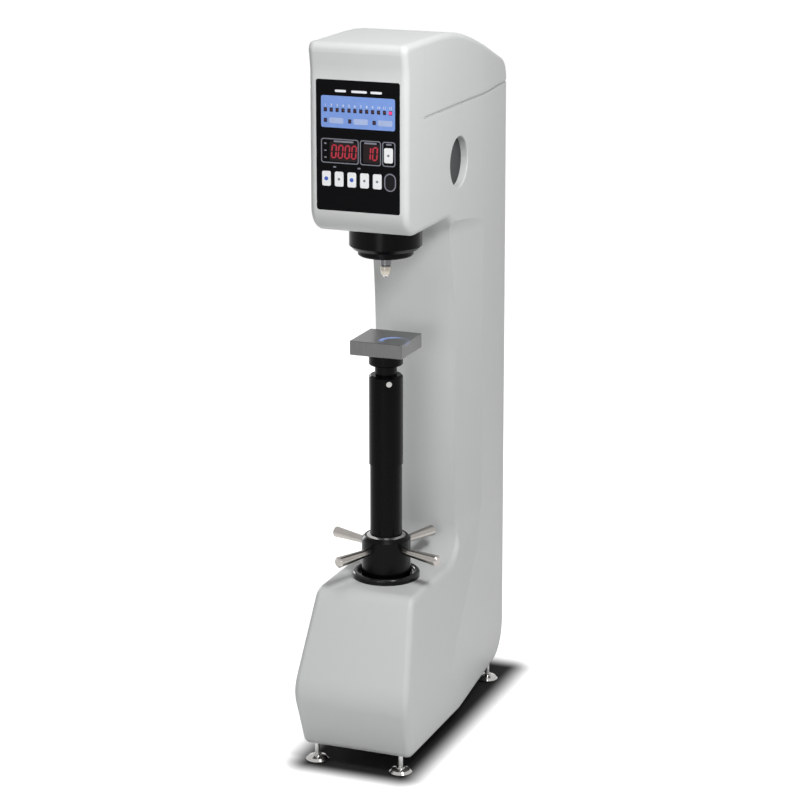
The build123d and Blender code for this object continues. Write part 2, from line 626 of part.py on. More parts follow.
# ---------------------------------------------------------------- cover, plates and plugs
def top_rear_cover():
    cover = OUTER & block((-FAR, FAR), (COVER_JOINT - COVER_FRONT, FAR), (SEAM_HEIGHT, FAR))
    inside = inner_form(COVER_WALL, HEAD_HALF - COVER_WALL, (0, OVERALL_HEIGHT))
    skin = inner_form(GROOVE_DEPTH, HEAD_HALF - GROOVE_DEPTH, (0, OVERALL_HEIGHT))
    groove_top = SEAM_HEIGHT + GROOVE_HEIGHT
    groove = block((-FAR, FAR), (-COVER_FRONT, FAR), (SEAM_HEIGHT, groove_top)) - skin
    return cover - inside - groove - both_sides(cover_screw())


def cover_screws():
    return both_sides(cover_screw(-FIT))


def plate_screws(extra=0.0):
    """Screws up through the rim of the bottom plate."""
    x = BOTTOM_OPENING_WIDTH / 2 + BOTTOM_PLATE_LAP / 2
    span = OPENING_BACK - OPENING_FRONT
    under = BODY_BOTTOM - BOTTOM_PLATE_THICKNESS
    screws = []
    for row in range(PLATE_SCREW_ROWS):
        y = OPENING_FRONT + span * (row + 0.5) / PLATE_SCREW_ROWS
        screw = cylinder(PLATE_SCREW_RADIUS + extra, under, BODY_BOTTOM + WALL - PLATE_SCREW_MARGIN, x, y)
        if extra <= 0:
            screw += cylinder(PLATE_SCREW_HEAD, under - PLATE_SCREW_HEAD_HEIGHT, under, x, y)
        screws += both_sides(screw)
    return screws


def bottom_plate():
    half = BOTTOM_OPENING_WIDTH / 2 + BOTTOM_PLATE_LAP
    plate = block((-half, half),
                  (OPENING_FRONT - BOTTOM_PLATE_LAP, OPENING_BACK + BOTTOM_PLATE_LAP),
                  (BODY_BOTTOM - BOTTOM_PLATE_THICKNESS, BODY_BOTTOM))
    plate = fillet(plate.edges().filter_by(Axis.Z), BOTTOM_PLATE_LAP / 2)
    return plate - plate_screws(FIT)


def side_port_plugs():
    plug = port(PORT_RADIUS - FIT, PORT_FLOOR_X - PLUG_THICKNESS, PORT_FLOOR_X)
    return both_sides(plug)


# ---------------------------------------------------------------- front panel
START_KEY_X = PANEL_WIDTH / 2 - START_KEY_INSET
READOUT_HEIGHT = PANEL_BOTTOM + READOUT_RISE
STATUS_HEIGHT = READOUT_HEIGHT + READOUT_TALL / 2 + STATUS_RISE


def key_places():
    """Name, x, height and whether the key is oval, for each panel key."""
    first = KEY_MARGIN + KEY_WIDTH / 2 - PANEL_WIDTH / 2
    pitch = -2 * first / (KEY_COUNT - 1)
    height = PANEL_BOTTOM + KEY_ROW_RISE
    places = []
    for index in range(KEY_COUNT):
        oval = index == KEY_COUNT - 1
        places.append((f"panel_key_{index + 1}", first + index * pitch, height, oval))
    places.append(("start_key", START_KEY_X, PANEL_BOTTOM + START_KEY_RISE, False))
    return places


def readout_places():
    """Centre and width of the wide and the narrow readout."""
    left = READOUT_INSET - PANEL_WIDTH / 2
    start = left + WIDE_READOUT + READOUT_GAP
    width = START_KEY_X - KEY_WIDTH / 2 - READOUT_KEY_GAP - start
    return [(left + WIDE_READOUT / 2, WIDE_READOUT), (start + width / 2, width)]


def key_shape(x, z, oval, front, depth, grow=0.0):
    corner = KEY_WIDTH / 2 - FIT if oval else KEY_CORNER
    return front_plate(KEY_WIDTH + 2 * grow, KEY_HEIGHT + 2 * grow, corner + grow, x, z, front, depth)


def led_places():
    first = LED_INSET - PANEL_WIDTH / 2
    pitch = -2 * first / (LED_COUNT - 1)
    row = [(first + index * pitch, STATUS_HEIGHT + LED_ROW_RISE) for index in range(LED_COUNT)]
    return row + [(first + index * STATUS_PITCH, STATUS_HEIGHT) for index in range(STATUS_COUNT)]


def front_panel():
    panel = front_plate(PANEL_WIDTH, PANEL_HEIGHT, PANEL_CORNER, 0, PANEL_MID,
                        PANEL_FRONT, PANEL_THICKNESS)
    for _, x, z, oval in key_places():
        panel -= key_shape(x, z, oval, PANEL_FRONT - OVERCUT, PANEL_THICKNESS + 2 * OVERCUT, KEY_GAP)
    for x, z in led_places():
        panel -= front_disc(LED_RADIUS, x, z, PANEL_FRONT - OVERCUT, PANEL_THICKNESS + 2 * OVERCUT)
    for x, width in readout_places():
        panel -= front_plate(width, READOUT_TALL, 2, x, READOUT_HEIGHT,
                             PANEL_FRONT - OVERCUT, PANEL_THICKNESS + 2 * OVERCUT)
    return panel


def readout_windows():
    return [front_plate(width, READOUT_TALL, 2, x, READOUT_HEIGHT, PANEL_FRONT, PANEL_THICKNESS)
            for x, width in readout_places()]


def readout_modules():
    return [block((x - width / 2 + MODULE_INSET, x + width / 2 - MODULE_INSET), (PANEL_BACK, BOARD_FRONT),
                  (READOUT_HEIGHT - READOUT_TALL / 2 + MODULE_INSET,
                   READOUT_HEIGHT + READOUT_TALL / 2 - MODULE_INSET))
            for x, width in readout_places()]


def indicator_leds():
    leds = []
    for x, z in led_places():
        lens = front_disc(LED_RADIUS, x, z, PANEL_FRONT - LED_PROUD, BOARD_FRONT - PANEL_FRONT + LED_PROUD)
        leds.append(chamfer(lens.edges().group_by(Axis.Y)[0], LED_PROUD * 0.8))
    return leds


def control_board():
    inset = 2 * (PANEL_LAND + STEP_CLEARANCE)
    board = front_plate(PANEL_WIDTH - inset, PANEL_HEIGHT - inset, PANEL_CORNER - STEP_CLEARANCE,
                        0, PANEL_MID, BOARD_FRONT, BOARD_THICKNESS)
    switch_front = PANEL_FRONT - KEY_PROUD + KEY_DEPTH + SWITCH_CLEARANCE
    for _, x, z, _ in key_places():
        half_switch = SWITCH_SIZE / 2
        board += block((x - half_switch, x + half_switch), (switch_front, BOARD_FRONT),
                       (z - half_switch, z + half_switch))
    return board


def panel_key(x, z, oval):
    cap = key_shape(x, z, oval, PANEL_FRONT - KEY_PROUD, KEY_DEPTH)
    return fillet(cap.faces().sort_by(Axis.Y)[0].edges(), KEY_PROUD / 2)


# ---------------------------------------------------------------- indenter and load train
def spindle_shroud():
    bore = SPINDLE_RADIUS + STEP_CLEARANCE
    step = SHROUD_RADIUS - SHROUD_CHAMFER
    return turned([
        (bore, SHROUD_NOSE_BOTTOM),
        (SHROUD_NOSE_RADIUS - NOSE_CHAMFER, SHROUD_NOSE_BOTTOM),
        (SHROUD_NOSE_RADIUS, SHROUD_NOSE_BOTTOM + NOSE_CHAMFER),
        (SHROUD_NOSE_RADIUS, SHROUD_BOTTOM - SHROUD_CHAMFER),
        (step, SHROUD_BOTTOM - SHROUD_CHAMFER),
        (SHROUD_RADIUS, SHROUD_BOTTOM),
        (SHROUD_RADIUS, HEAD_FLOOR),
        (SHROUD_RADIUS - SHROUD_WALL, HEAD_FLOOR),
        (SHROUD_RADIUS - SHROUD_WALL, SHROUD_BOTTOM + SHROUD_WALL),
        (bore, SHROUD_BOTTOM + SHROUD_WALL),
    ])


def spindle_bush():
    return tube(SPINDLE_RADIUS + BUSH_WALL, SPINDLE_RADIUS + FIT, HEAD_FLOOR - WALL, FLOOR_PAD_TOP)


def spindle():
    bar = cylinder(SPINDLE_RADIUS, SPINDLE_BOTTOM, SPINDLE_TOP)
    return bar - cylinder(HOLDER_SHANK, SPINDLE_BOTTOM, SPINDLE_BOTTOM + HOLDER_INSERT)


HOLDER_BOTTOM = SPINDLE_BOTTOM - HOLDER_LENGTH
BALL_CAP_BOTTOM = HOLDER_BOTTOM - HOLDER_GROOVE - BALL_CAP_LENGTH
BALL_CENTRE = BALL_CAP_BOTTOM - BALL_SHOWING + BALL_RADIUS


def indenter_holder():
    return turned([
        (0, HOLDER_BOTTOM - HOLDER_GROOVE),
        (HOLDER_SHANK, HOLDER_BOTTOM - HOLDER_GROOVE),
        (HOLDER_SHANK, HOLDER_BOTTOM),
        (HOLDER_RADIUS - HOLDER_CHAMFER, HOLDER_BOTTOM),
        (HOLDER_RADIUS, HOLDER_BOTTOM + HOLDER_CHAMFER),
        (HOLDER_RADIUS, SPINDLE_BOTTOM),
        (HOLDER_SHANK, SPINDLE_BOTTOM),
        (HOLDER_SHANK, SPINDLE_BOTTOM + HOLDER_INSERT),
        (0, SPINDLE_BOTTOM + HOLDER_INSERT),
    ])


def ball_cap():
    top = HOLDER_BOTTOM - HOLDER_GROOVE
    cap = turned([
        (0, BALL_CAP_BOTTOM),
        (BALL_RADIUS + BALL_CAP_WALL, BALL_CAP_BOTTOM),
        (HOLDER_RADIUS, BALL_CAP_BOTTOM + BALL_CAP_LENGTH / 2),
        (HOLDER_RADIUS, top),
        (0, top),
    ])
    return cap - indenter_ball()


def indenter_ball():
    return Pos(0, 0, BALL_CENTRE) * Sphere(BALL_RADIUS)


def load_cell():
    waist = LOAD_CELL_RADIUS * 0.8
    band = LOAD_CELL_HEIGHT / 4
    return turned([
        (0, SPINDLE_TOP),
        (LOAD_CELL_RADIUS, SPINDLE_TOP),
        (LOAD_CELL_RADIUS, SPINDLE_TOP + band),
        (waist, SPINDLE_TOP + band + CELL_CHAMFER),
        (waist, LOAD_CELL_TOP - band - CELL_CHAMFER),
        (LOAD_CELL_RADIUS, LOAD_CELL_TOP - band),
        (LOAD_CELL_RADIUS, LOAD_CELL_TOP),
        (0, LOAD_CELL_TOP),
    ])


def crosshead():
    beam = block((-CROSSHEAD_HALF, CROSSHEAD_HALF), (-CROSSHEAD_DEPTH / 2, CROSSHEAD_DEPTH / 2),
                 (LOAD_CELL_TOP, CROSSHEAD_TOP))
    beam = fillet(beam.edges().filter_by(Axis.Z), CROSSHEAD_DEPTH / 5)
    for x in (-POST_X, POST_X):
        beam -= cylinder(POST_RADIUS + FIT, 0, OVERALL_HEIGHT, x)
    return beam - cylinder(BALL_NUT_RADIUS, LOAD_CELL_TOP, OVERALL_HEIGHT)


def ball_nut():
    nut = cylinder(BALL_NUT_RADIUS, LOAD_CELL_TOP, CROSSHEAD_TOP + BALL_NUT_RISE)
    nut += tube(BALL_NUT_RADIUS + BALL_NUT_FLANGE, BALL_NUT_RADIUS, CROSSHEAD_TOP, CROSSHEAD_TOP + BALL_NUT_RISE)
    return nut - cylinder(BALL_SCREW_RADIUS + FIT, LOAD_CELL_TOP, OVERALL_HEIGHT)


def guide_posts():
    return both_sides(cylinder(POST_RADIUS, FLOOR_PAD_TOP, BRIDGE_BOTTOM, POST_X))


def bridge_plate():
    plate = block((-BRIDGE_HALF, BRIDGE_HALF), (-BRIDGE_FRONT, BRIDGE_REAR), (BRIDGE_BOTTOM, BRIDGE_TOP))
    plate = fillet(plate.edges().filter_by(Axis.Z), PANEL_LAND)
    plate -= cylinder(BEARING_RADIUS, 0, OVERALL_HEIGHT)
    return plate - cylinder(MOTOR_HOLE_RADIUS, 0, OVERALL_HEIGHT, 0, MOTOR_BEHIND_AXIS)


def ball_screw_bearing():
    return tube(BEARING_RADIUS, BALL_SCREW_RADIUS + FIT, BRIDGE_BOTTOM, BRIDGE_TOP)


PULLEY_BOTTOM = BRIDGE_TOP + PULLEY_BOTTOM_GAP
BELT_BOTTOM = PULLEY_BOTTOM + PULLEY_FLANGE + RUNNING
BELT_TOP = BELT_BOTTOM + BELT_WIDTH
PULLEY_TOP = BELT_TOP + RUNNING + PULLEY_FLANGE


def ball_screw():
    return cylinder(BALL_SCREW_RADIUS, LOAD_CELL_TOP + STROKE_MARGIN, PULLEY_TOP)


def pulley(radius, bore, y):
    """Flat-faced belt pulley with a rim at the top and bottom."""
    rim = radius + BELT_THICKNESS
    wheel = cylinder(radius, PULLEY_BOTTOM, PULLEY_TOP, 0, y)
    wheel += cylinder(rim, PULLEY_BOTTOM, PULLEY_BOTTOM + PULLEY_FLANGE, 0, y)
    wheel += cylinder(rim, PULLEY_TOP - PULLEY_FLANGE, PULLEY_TOP, 0, y)
    return wheel - cylinder(bore, 0, OVERALL_HEIGHT, 0, y)


def driven_pulley():
    return pulley(PULLEY_RADIUS, BALL_SCREW_RADIUS, 0)


def motor_pulley():
    wheel = pulley(MOTOR_PULLEY_RADIUS, MOTOR_SHAFT_RADIUS, MOTOR_BEHIND_AXIS)
    shaft = cylinder(MOTOR_SHAFT_RADIUS, BRIDGE_BOTTOM + RUNNING, PULLEY_TOP, 0, MOTOR_BEHIND_AXIS)
    return wheel + shaft


def belt_loop(grow):
    """Filled belt path around both pulleys, grown outwards."""
    large = PULLEY_RADIUS + grow
    small = MOTOR_PULLEY_RADIUS + grow
    lean = math.asin((large - small) / MOTOR_BEHIND_AXIS)
    ends = []
    for radius, y in ((large, 0), (small, MOTOR_BEHIND_AXIS)):
        ends.append((radius * math.cos(lean), y + radius * math.sin(lean)))
    web = ends + [(-x, y) for x, y in reversed(ends)]
    loop = make_face(Polyline(*web, close=True)) + Circle(large)
    loop += Pos(0, MOTOR_BEHIND_AXIS) * Circle(small)
    return Pos(0, 0, BELT_BOTTOM) * extrude(loop, amount=BELT_WIDTH)


def timing_belt():
    return belt_loop(BELT_THICKNESS - RUNNING) - belt_loop(RUNNING)


def load_motor():
    half = MOTOR_SIZE / 2
    body = block((-half, half), (MOTOR_BEHIND_AXIS - half, MOTOR_BEHIND_AXIS + half),
                 (BRIDGE_BOTTOM - MOTOR_LENGTH, BRIDGE_BOTTOM))
    return chamfer(body.edges().filter_by(Axis.Z), MOTOR_SIZE / 12)


# ---------------------------------------------------------------- elevating screw and capstan
def anvil():
    half = ANVIL_SIZE / 2
    plate = block((-half, half), (-half, half), (ANVIL_BOTTOM, ANVIL_TOP))
    plate = chamfer(plate.edges(), ANVIL_EDGE)
    return plate + cylinder(SPIGOT_RADIUS, ANVIL_BOTTOM - SPIGOT_LENGTH, ANVIL_BOTTOM + ANVIL_EDGE)


def anvil_seat():
    seat = cylinder(SEAT_NECK_RADIUS, SEAT_BOTTOM, SEAT_NECK_TOP)
    seat += cylinder(SEAT_FLANGE_RADIUS, SEAT_NECK_TOP, ANVIL_BOTTOM)
    seat = chamfer(seat.edges().filter_by(GeomType.CIRCLE).group_by(SortBy.RADIUS)[-1], 1.5)
    seat -= cylinder(SPIGOT_RADIUS + FIT, ANVIL_BOTTOM - SPIGOT_LENGTH, ANVIL_BOTTOM)
    return seat - cylinder(SCREW_TENON_RADIUS, SEAT_BOTTOM - OVERCUT, SCREW_TOP)


def keyway(bottom, top, clearance=0.0):
    """Slot on the front of the screw."""
    half = KEYWAY_WIDTH / 2 - clearance
    depth = SCREW_RADIUS - KEYWAY_DEPTH + clearance
    return block((-half, half), (-SCREW_RADIUS - WALL / 4, -depth), (bottom, top))


def elevating_screw():
    screw = cylinder(SCREW_RADIUS, SCREW_BOTTOM, SCREW_SHOULDER)
    screw += cylinder(SCREW_TENON_RADIUS, SCREW_SHOULDER, SCREW_TOP)
    return screw - keyway(SCREW_BOTTOM, CAP_BOTTOM)


def outer_dust_tube():
    inner = OUTER_TUBE_RADIUS - TUBE_WALL
    sleeve = turned([
        (SCREW_TENON_RADIUS, SCREW_SHOULDER),
        (SCREW_RADIUS, SCREW_SHOULDER),
        (SCREW_RADIUS, CAP_BOTTOM),
        (inner, CAP_BOTTOM),
        (inner, OUTER_TUBE_BOTTOM),
        (OUTER_TUBE_RADIUS, OUTER_TUBE_BOTTOM),
        (OUTER_TUBE_RADIUS, SEAT_BOTTOM - TUBE_CAP_CHAMFER),
        (OUTER_TUBE_RADIUS - TUBE_CAP_CHAMFER, SEAT_BOTTOM),
        (SCREW_TENON_RADIUS, SEAT_BOTTOM),
    ])
    return sleeve - set_screw(FIT)


def set_screw(extra=0.0):
    """Headed screw that clamps the tube's cap to the screw."""
    head_front = OUTER_TUBE_RADIUS + SET_SCREW_PROUD
    head_back = OUTER_TUBE_RADIUS - SET_SCREW_SINK
    height = SEAT_BOTTOM - SET_SCREW_DROP
    screw = front_disc(SET_SCREW_RADIUS + extra, 0, height, -head_back, head_back)
    screw += front_disc(SET_SCREW_HEAD + extra, 0, height, -head_front, head_front - head_back)
    return Rot(0, 0, SET_SCREW_AZIMUTH) * (screw - cylinder(SCREW_RADIUS, 0, OVERALL_HEIGHT))


def middle_dust_tube():
    return tube(MIDDLE_TUBE_RADIUS, MIDDLE_TUBE_RADIUS - TUBE_WALL,
                MIDDLE_TUBE_BOTTOM, MIDDLE_TUBE_BOTTOM + MIDDLE_TUBE_LENGTH)


def inner_dust_tube():
    return tube(INNER_TUBE_RADIUS, INNER_TUBE_RADIUS - TUBE_WALL,
                HUB_RECESS_FLOOR, HUB_RECESS_FLOOR + INNER_TUBE_LENGTH)


def lever_bar(angle):
    """One capstan bar, thicker towards its outer end, lying outwards from the hub."""
    root = HUB_RADIUS - BAR_SOCKET
    outline = [
        (root, 0),
        (root, BAR_ROOT_RADIUS),
        (HUB_RADIUS, BAR_ROOT_RADIUS),
        (BAR_REACH - BAR_CHAMFER, BAR_TIP_RADIUS),
        (BAR_REACH, BAR_TIP_RADIUS - BAR_CHAMFER),
        (BAR_REACH, 0),
    ]
    face = make_face(Polyline(*[(x, 0, z) for x, z in outline], close=True))
    return Rot(0, 0, angle) * Pos(0, 0, BAR_HEIGHT) * revolve(face, Axis.X, 360)


def bar_angles():
    return [BAR_FIRST_ANGLE + 360 * index / BAR_COUNT for index in range(BAR_COUNT)]


def capstan_nut():
    recess = MIDDLE_TUBE_RADIUS + 2 * TUBE_GAP
    bore = SCREW_RADIUS + FIT
    nut = turned([
        (bore, HUB_TAIL_BOTTOM),
        (HUB_TAIL_RADIUS, HUB_TAIL_BOTTOM),
        (HUB_TAIL_RADIUS, HUB_BOTTOM),
        (HUB_RADIUS, HUB_BOTTOM),
        (HUB_RADIUS, HUB_TOP - HUB_CHAMFER),
        (HUB_RADIUS - HUB_CHAMFER, HUB_TOP),
        (WIPER_RADIUS, HUB_TOP),
        (WIPER_RADIUS, HUB_TOP - WIPER_DEPTH),
        (recess, HUB_TOP - WIPER_DEPTH),
        (recess, HUB_RECESS_FLOOR),
        (bore, HUB_RECESS_FLOOR),
    ])
    for angle in bar_angles():
        nut -= lever_bar(angle)
    return nut


def wiper_ring():
    """Polished ring in the hub's mouth that wipes the middle tube."""
    bore = MIDDLE_TUBE_RADIUS + TUBE_GAP
    return turned([
        (bore, HUB_TOP - WIPER_DEPTH),
        (WIPER_RADIUS, HUB_TOP - WIPER_DEPTH),
        (WIPER_RADIUS, HUB_TOP),
        (bore + TUBE_WALL, HUB_TOP + WIPER_PROUD),
        (bore, HUB_TOP + WIPER_PROUD),
    ])


def dust_ring():
    """Raised ring with a rounded lip around the hub."""
    lip_inner = DUST_RING_RADIUS - DUST_RING_LIP
    middle = (DUST_RING_RADIUS + lip_inner) / 2
    ring = tube(DUST_RING_RADIUS, lip_inner, BASE_TOP, BASE_TOP + DUST_RING_HEIGHT)
    crown = [edge for edge in ring.edges() if edge.center().Z > BASE_TOP + DUST_RING_HEIGHT / 2]
    ring = fillet([edge for edge in crown if edge.geom_type == GeomType.CIRCLE], DUST_RING_LIP * 0.45)
    floor = tube(middle, HUB_RADIUS + STEP_CLEARANCE, BASE_TOP, BASE_TOP + DUST_RING_FLOOR)
    return ring + floor


def thrust_bearing():
    return tube(THRUST_BEARING_RADIUS, HUB_TAIL_RADIUS + FIT, BEARING_BOTTOM, BASE_TOP)


def screw_key_bush():
    top = HUB_TAIL_BOTTOM - KEY_BUSH_GAP
    bush = tube(KEY_BUSH_RADIUS, SCREW_RADIUS + FIT, BASE_BOSS_BOTTOM, top)
    return bush + keyway(BASE_BOSS_BOTTOM, top, RUNNING)


# ---------------------------------------------------------------- feet and connectors
def levelling_pad(x, y):
    dome = turned([
        (0, 0),
        (FOOT_RADIUS - FOOT_CHAMFER, 0),
        (FOOT_RADIUS, 1),
        (FOOT_RADIUS, FOOT_EDGE),
        (FOOT_RADIUS * 0.8, FOOT_DOME * 0.75),
        (FOOT_NECK, FOOT_DOME),
        (FOOT_NECK, FOOT_DOME + FOOT_NECK_RISE),
        (STUD_RADIUS, FOOT_DOME + FOOT_NECK_RISE),
        (STUD_RADIUS, FOOT_EDGE),
        (0, FOOT_EDGE),
    ])
    return Pos(x, y, 0) * dome


def levelling_stud(x, y):
    return cylinder(STUD_RADIUS, FOOT_EDGE, FOOT_EDGE + STUD_LENGTH, x, y)


def power_supply():
    width, length, height = SUPPLY_SIZE
    box = block((-width / 2, width / 2), (SUPPLY_START, SUPPLY_START + length), (BODY_BOTTOM, BODY_BOTTOM + height))
    return chamfer(box.edges().filter_by(Axis.Z), PANEL_THICKNESS)


def power_inlet():
    width, height = INLET_SIZE
    body = block((INLET_X - width / 2, INLET_X + width / 2), (CONNECTOR_BACK - INLET_DEPTH, CONNECTOR_BACK),
                 (INLET_HEIGHT - height / 2, INLET_HEIGHT + height / 2))
    plane = Plane(origin=(INLET_X, CONNECTOR_BACK, INLET_HEIGHT), x_dir=(1, 0, 0), z_dir=(0, -1, 0))
    mouth = RectangleRounded(width - 2 * INLET_RIM[0], height - 2 * INLET_RIM[1], INLET_CORNER)
    socket = extrude(plane * mouth, amount=INLET_SOCKET_DEPTH)
    body -= socket
    half_x, half_z = PIN_SIZE[0] / 2, PIN_SIZE[1] / 2
    pins = []
    for x, z in ((-PIN_SPACING, -half_z), (0, half_z), (PIN_SPACING, -half_z)):
        pins.append(block((INLET_X + x - half_x, INLET_X + x + half_x),
                          (CONNECTOR_BACK - INLET_SOCKET_DEPTH, CONNECTOR_BACK - 2 * STEP_CLEARANCE),
                          (INLET_HEIGHT + z - half_z, INLET_HEIGHT + z + half_z)))
    return body + pins


def switch_frame_size():
    return (ROCKER_SIZE[0] + 2 * ROCKER_FRAME, ROCKER_SIZE[1] + 2 * ROCKER_FRAME)


def switch_frame():
    width, height = switch_frame_size()
    frame = block((SWITCH_X - width / 2, SWITCH_X + width / 2), (CONNECTOR_BACK - INLET_DEPTH, CONNECTOR_BACK),
                  (INLET_HEIGHT - height / 2, INLET_HEIGHT + height / 2))
    gap = STEP_CLEARANCE / 2
    half_x = ROCKER_SIZE[0] / 2 + gap
    half_z = ROCKER_SIZE[1] / 2 + gap
    well = block((SWITCH_X - half_x, SWITCH_X + half_x), (CONNECTOR_BACK - 2 * ROCKER_THICKNESS, CONNECTOR_BACK),
                 (INLET_HEIGHT - half_z, INLET_HEIGHT + half_z))
    return frame - well - rocker_pins(FIT)


def rocker_pins(extra=0.0):
    """Stub pins on the tilt axis of the rocker."""
    half = ROCKER_SIZE[0] / 2 + STEP_CLEARANCE / 2 + ROCKER_PIN_LENGTH + extra
    plane = Plane(origin=(SWITCH_X - half, CONNECTOR_BACK - ROCKER_THICKNESS / 2, INLET_HEIGHT),
                  x_dir=(0, 1, 0), z_dir=(1, 0, 0))
    return extrude(plane * Circle(ROCKER_PIN + extra), amount=2 * half)


def power_rocker():
    """Shallow V-faced rocker, stored with its upper half pressed in."""
    half_x = ROCKER_SIZE[0] / 2
    half_z = ROCKER_SIZE[1] / 2
    dip = half_z * math.tan(math.radians(ROCKER_TILT))
    outer = ROCKER_THICKNESS / 2
    points = [(outer, -half_z), (outer - dip, 0), (outer, half_z), (-outer, half_z / 2), (-outer, -half_z / 2)]
    face = make_face(Polyline(*[(0, y, z) for y, z in points], close=True))
    rocker = extrude(face, amount=half_x, both=True, dir=(1, 0, 0))
    rocker = Rot(ROCKER_TILT, 0, 0) * rocker
    return Pos(SWITCH_X, CONNECTOR_BACK - ROCKER_THICKNESS / 2, INLET_HEIGHT) * rocker + rocker_pins()


# ---------------------------------------------------------------- all nodes
def nodes():
    """Every node's name and its solid or list of solids."""
    pieces = {
        "frame_casting": frame_casting(),
        "top_rear_cover": top_rear_cover(),
        "cover_screws": cover_screws(),
        "bottom_plate": bottom_plate(),
        "bottom_plate_screws": plate_screws(),
        "side_port_plugs": side_port_plugs(),
        "front_panel": front_panel(),
        "readout_windows": readout_windows(),
        "readout_modules": readout_modules(),
        "indicator_leds": indicator_leds(),
        "control_board": control_board(),
        "spindle_shroud": spindle_shroud(),
        "spindle_bush": spindle_bush(),
        "guide_posts": guide_posts(),
        "bridge_plate": bridge_plate(),
        "ball_screw_bearing": ball_screw_bearing(),
        "timing_belt": timing_belt(),
        "load_motor": load_motor(),
        "dust_ring": dust_ring(),
        "thrust_bearing": thrust_bearing(),
        "screw_key_bush": screw_key_bush(),
        "power_supply": power_supply(),
        "power_inlet": power_inlet(),
        "switch_frame": switch_frame(),
        "power_rocker": power_rocker(),
        "spindle": spindle(),
        "load_cell": load_cell(),
        "crosshead": crosshead(),
        "ball_nut": ball_nut(),
        "indenter_holder": indenter_holder(),
        "ball_cap": ball_cap(),
        "indenter_ball": indenter_ball(),
        "ball_screw": ball_screw(),
        "driven_pulley": driven_pulley(),
        "motor_pulley": motor_pulley(),
        "anvil": anvil(),
        "anvil_seat": anvil_seat(),
        "elevating_screw": elevating_screw(),
        "outer_dust_tube": outer_dust_tube(),
        "tube_set_screw": set_screw(),
        "middle_dust_tube": middle_dust_tube(),
        "inner_dust_tube": inner_dust_tube(),
        "capstan_nut": capstan_nut(),
        "wiper_ring": wiper_ring(),
        "lever_bars": [lever_bar(angle) for angle in bar_angles()],
    }
    for name, x, z, oval in key_places():
        pieces[name] = panel_key(x, z, oval)
    for place, (x, y) in FOOT_PLACES.items():
        pieces[f"foot_{place}"] = levelling_pad(x, y)
        pieces[f"foot_stud_{place}"] = levelling_stud(x, y)
    return pieces


def solids_of(piece):
    """All solids of a shape or of a list of shapes."""
    if isinstance(piece, (list, tuple)):
        return [solid for item in piece for solid in item.solids()]
    return piece.solids()


def main():
    os.makedirs("parts", exist_ok=True)
    to_origin = Pos(0, -MID_DEPTH, 0)
    for name, piece in nodes().items():
        placed = [to_origin * solid for solid in solids_of(piece)]
        shape = placed[0] if len(placed) == 1 else Compound(children=placed)
        export_step(shape, f"parts/{name}.step")
    print(f"moved by {-MID_DEPTH:.3f} mm along Y, overall box {BOUNDS}")


main()
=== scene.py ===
import math

import bpy
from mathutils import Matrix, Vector
from mathutils.kdtree import KDTree


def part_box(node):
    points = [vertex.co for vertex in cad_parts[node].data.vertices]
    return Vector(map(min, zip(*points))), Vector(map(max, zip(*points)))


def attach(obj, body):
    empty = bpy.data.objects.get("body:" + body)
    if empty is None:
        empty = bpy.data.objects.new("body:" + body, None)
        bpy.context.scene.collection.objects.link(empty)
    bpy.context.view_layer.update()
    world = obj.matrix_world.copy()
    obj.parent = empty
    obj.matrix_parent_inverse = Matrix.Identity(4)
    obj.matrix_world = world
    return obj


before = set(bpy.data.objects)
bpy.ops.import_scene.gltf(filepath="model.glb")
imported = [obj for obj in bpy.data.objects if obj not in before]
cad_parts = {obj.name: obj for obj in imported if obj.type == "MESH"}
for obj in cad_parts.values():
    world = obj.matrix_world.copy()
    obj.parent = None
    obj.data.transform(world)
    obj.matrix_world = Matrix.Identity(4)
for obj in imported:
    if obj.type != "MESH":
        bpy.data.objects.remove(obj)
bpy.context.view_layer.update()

# The looks of a bench Brinell hardness tester: paint, metals, the keypad's printing and its lit
# digits, a studio floor, lamps and the camera.  Metres, in the CAD part's frame.

MM = 0.001

# ---------------------------------------------------------------- view and light
CAMERA_PLACE = (1.4516, -3.755, 1.6476)
CAMERA_AZIMUTH = math.radians(21.44)
CAMERA_TILT = math.radians(15.33)
CAMERA_LENS = 115.9         # mm on a 36 mm wide sensor
FLOOR_REACH = 12.0
FLOOR_TONE = (0.90, 0.90, 0.90)
FLOOR_PAINTED_SHADOW = (0.02, 0.02, 0.02)      # painted shadow: the floor's colour right under the machine
FLOOR_LIFT = 0.92           # added only for the camera, and not under the machine, where the painted shadow is
FOOTPRINT_INSET = 0.02      # the base is narrower at the floor
FLOOR_SHADOW = 0.07         # the painted shadow fades out and the lift comes in over this distance around the base
AMBIENT = 0.10
# name, place, aim, size, watts
LAMPS = [
    ("key", (1.05, -0.95, 1.9), (0.0, 0.0, 0.8), 0.5, 25),
    ("fill", (0.1, -2.4, 0.8), (0.0, 0.0, 0.5), 1.0, 11),
    ("top", (0.2, -0.5, 2.5), (0.0, 0.0, 1.0), 0.8, 9),
    ("back", (-2.2, 1.4, 1.0), (0.0, 0.0, 0.6), 0.9, 18),
]

# ---------------------------------------------------------------- keypad printing, millimetres
FIELD_SIZE = (119.0, 48.0)
FIELD_CORNER = 3.0
BEZEL_SIZE = (5.2, 6.2)     # dark surround of each lamp
FIELD_RISE = 51.0           # centre of the blue field above the panel's centre
PRINT_THICKNESS = 0.12
OUTLINE_WIDTH = 1.5
DIGIT_HEIGHT = 21.0
DIGIT_WIDTH = 9.0
DIGIT_PITCH = 10.8
DIGIT_STROKE = 2.2
DIGIT_SLANT = 0.08
DIGIT_GAP = 0.35            # between two segments that meet
DIGIT_LINE = -9.0           # centre of the digits from the panel's centre
FORCE_DIGITS = ("0000", -39.0)      # text, centre of its first digit
DWELL_DIGITS = ("10", 16.5)
BOX_CORNER = 4.0
BOX_CORNER_INSIDE = 3.0
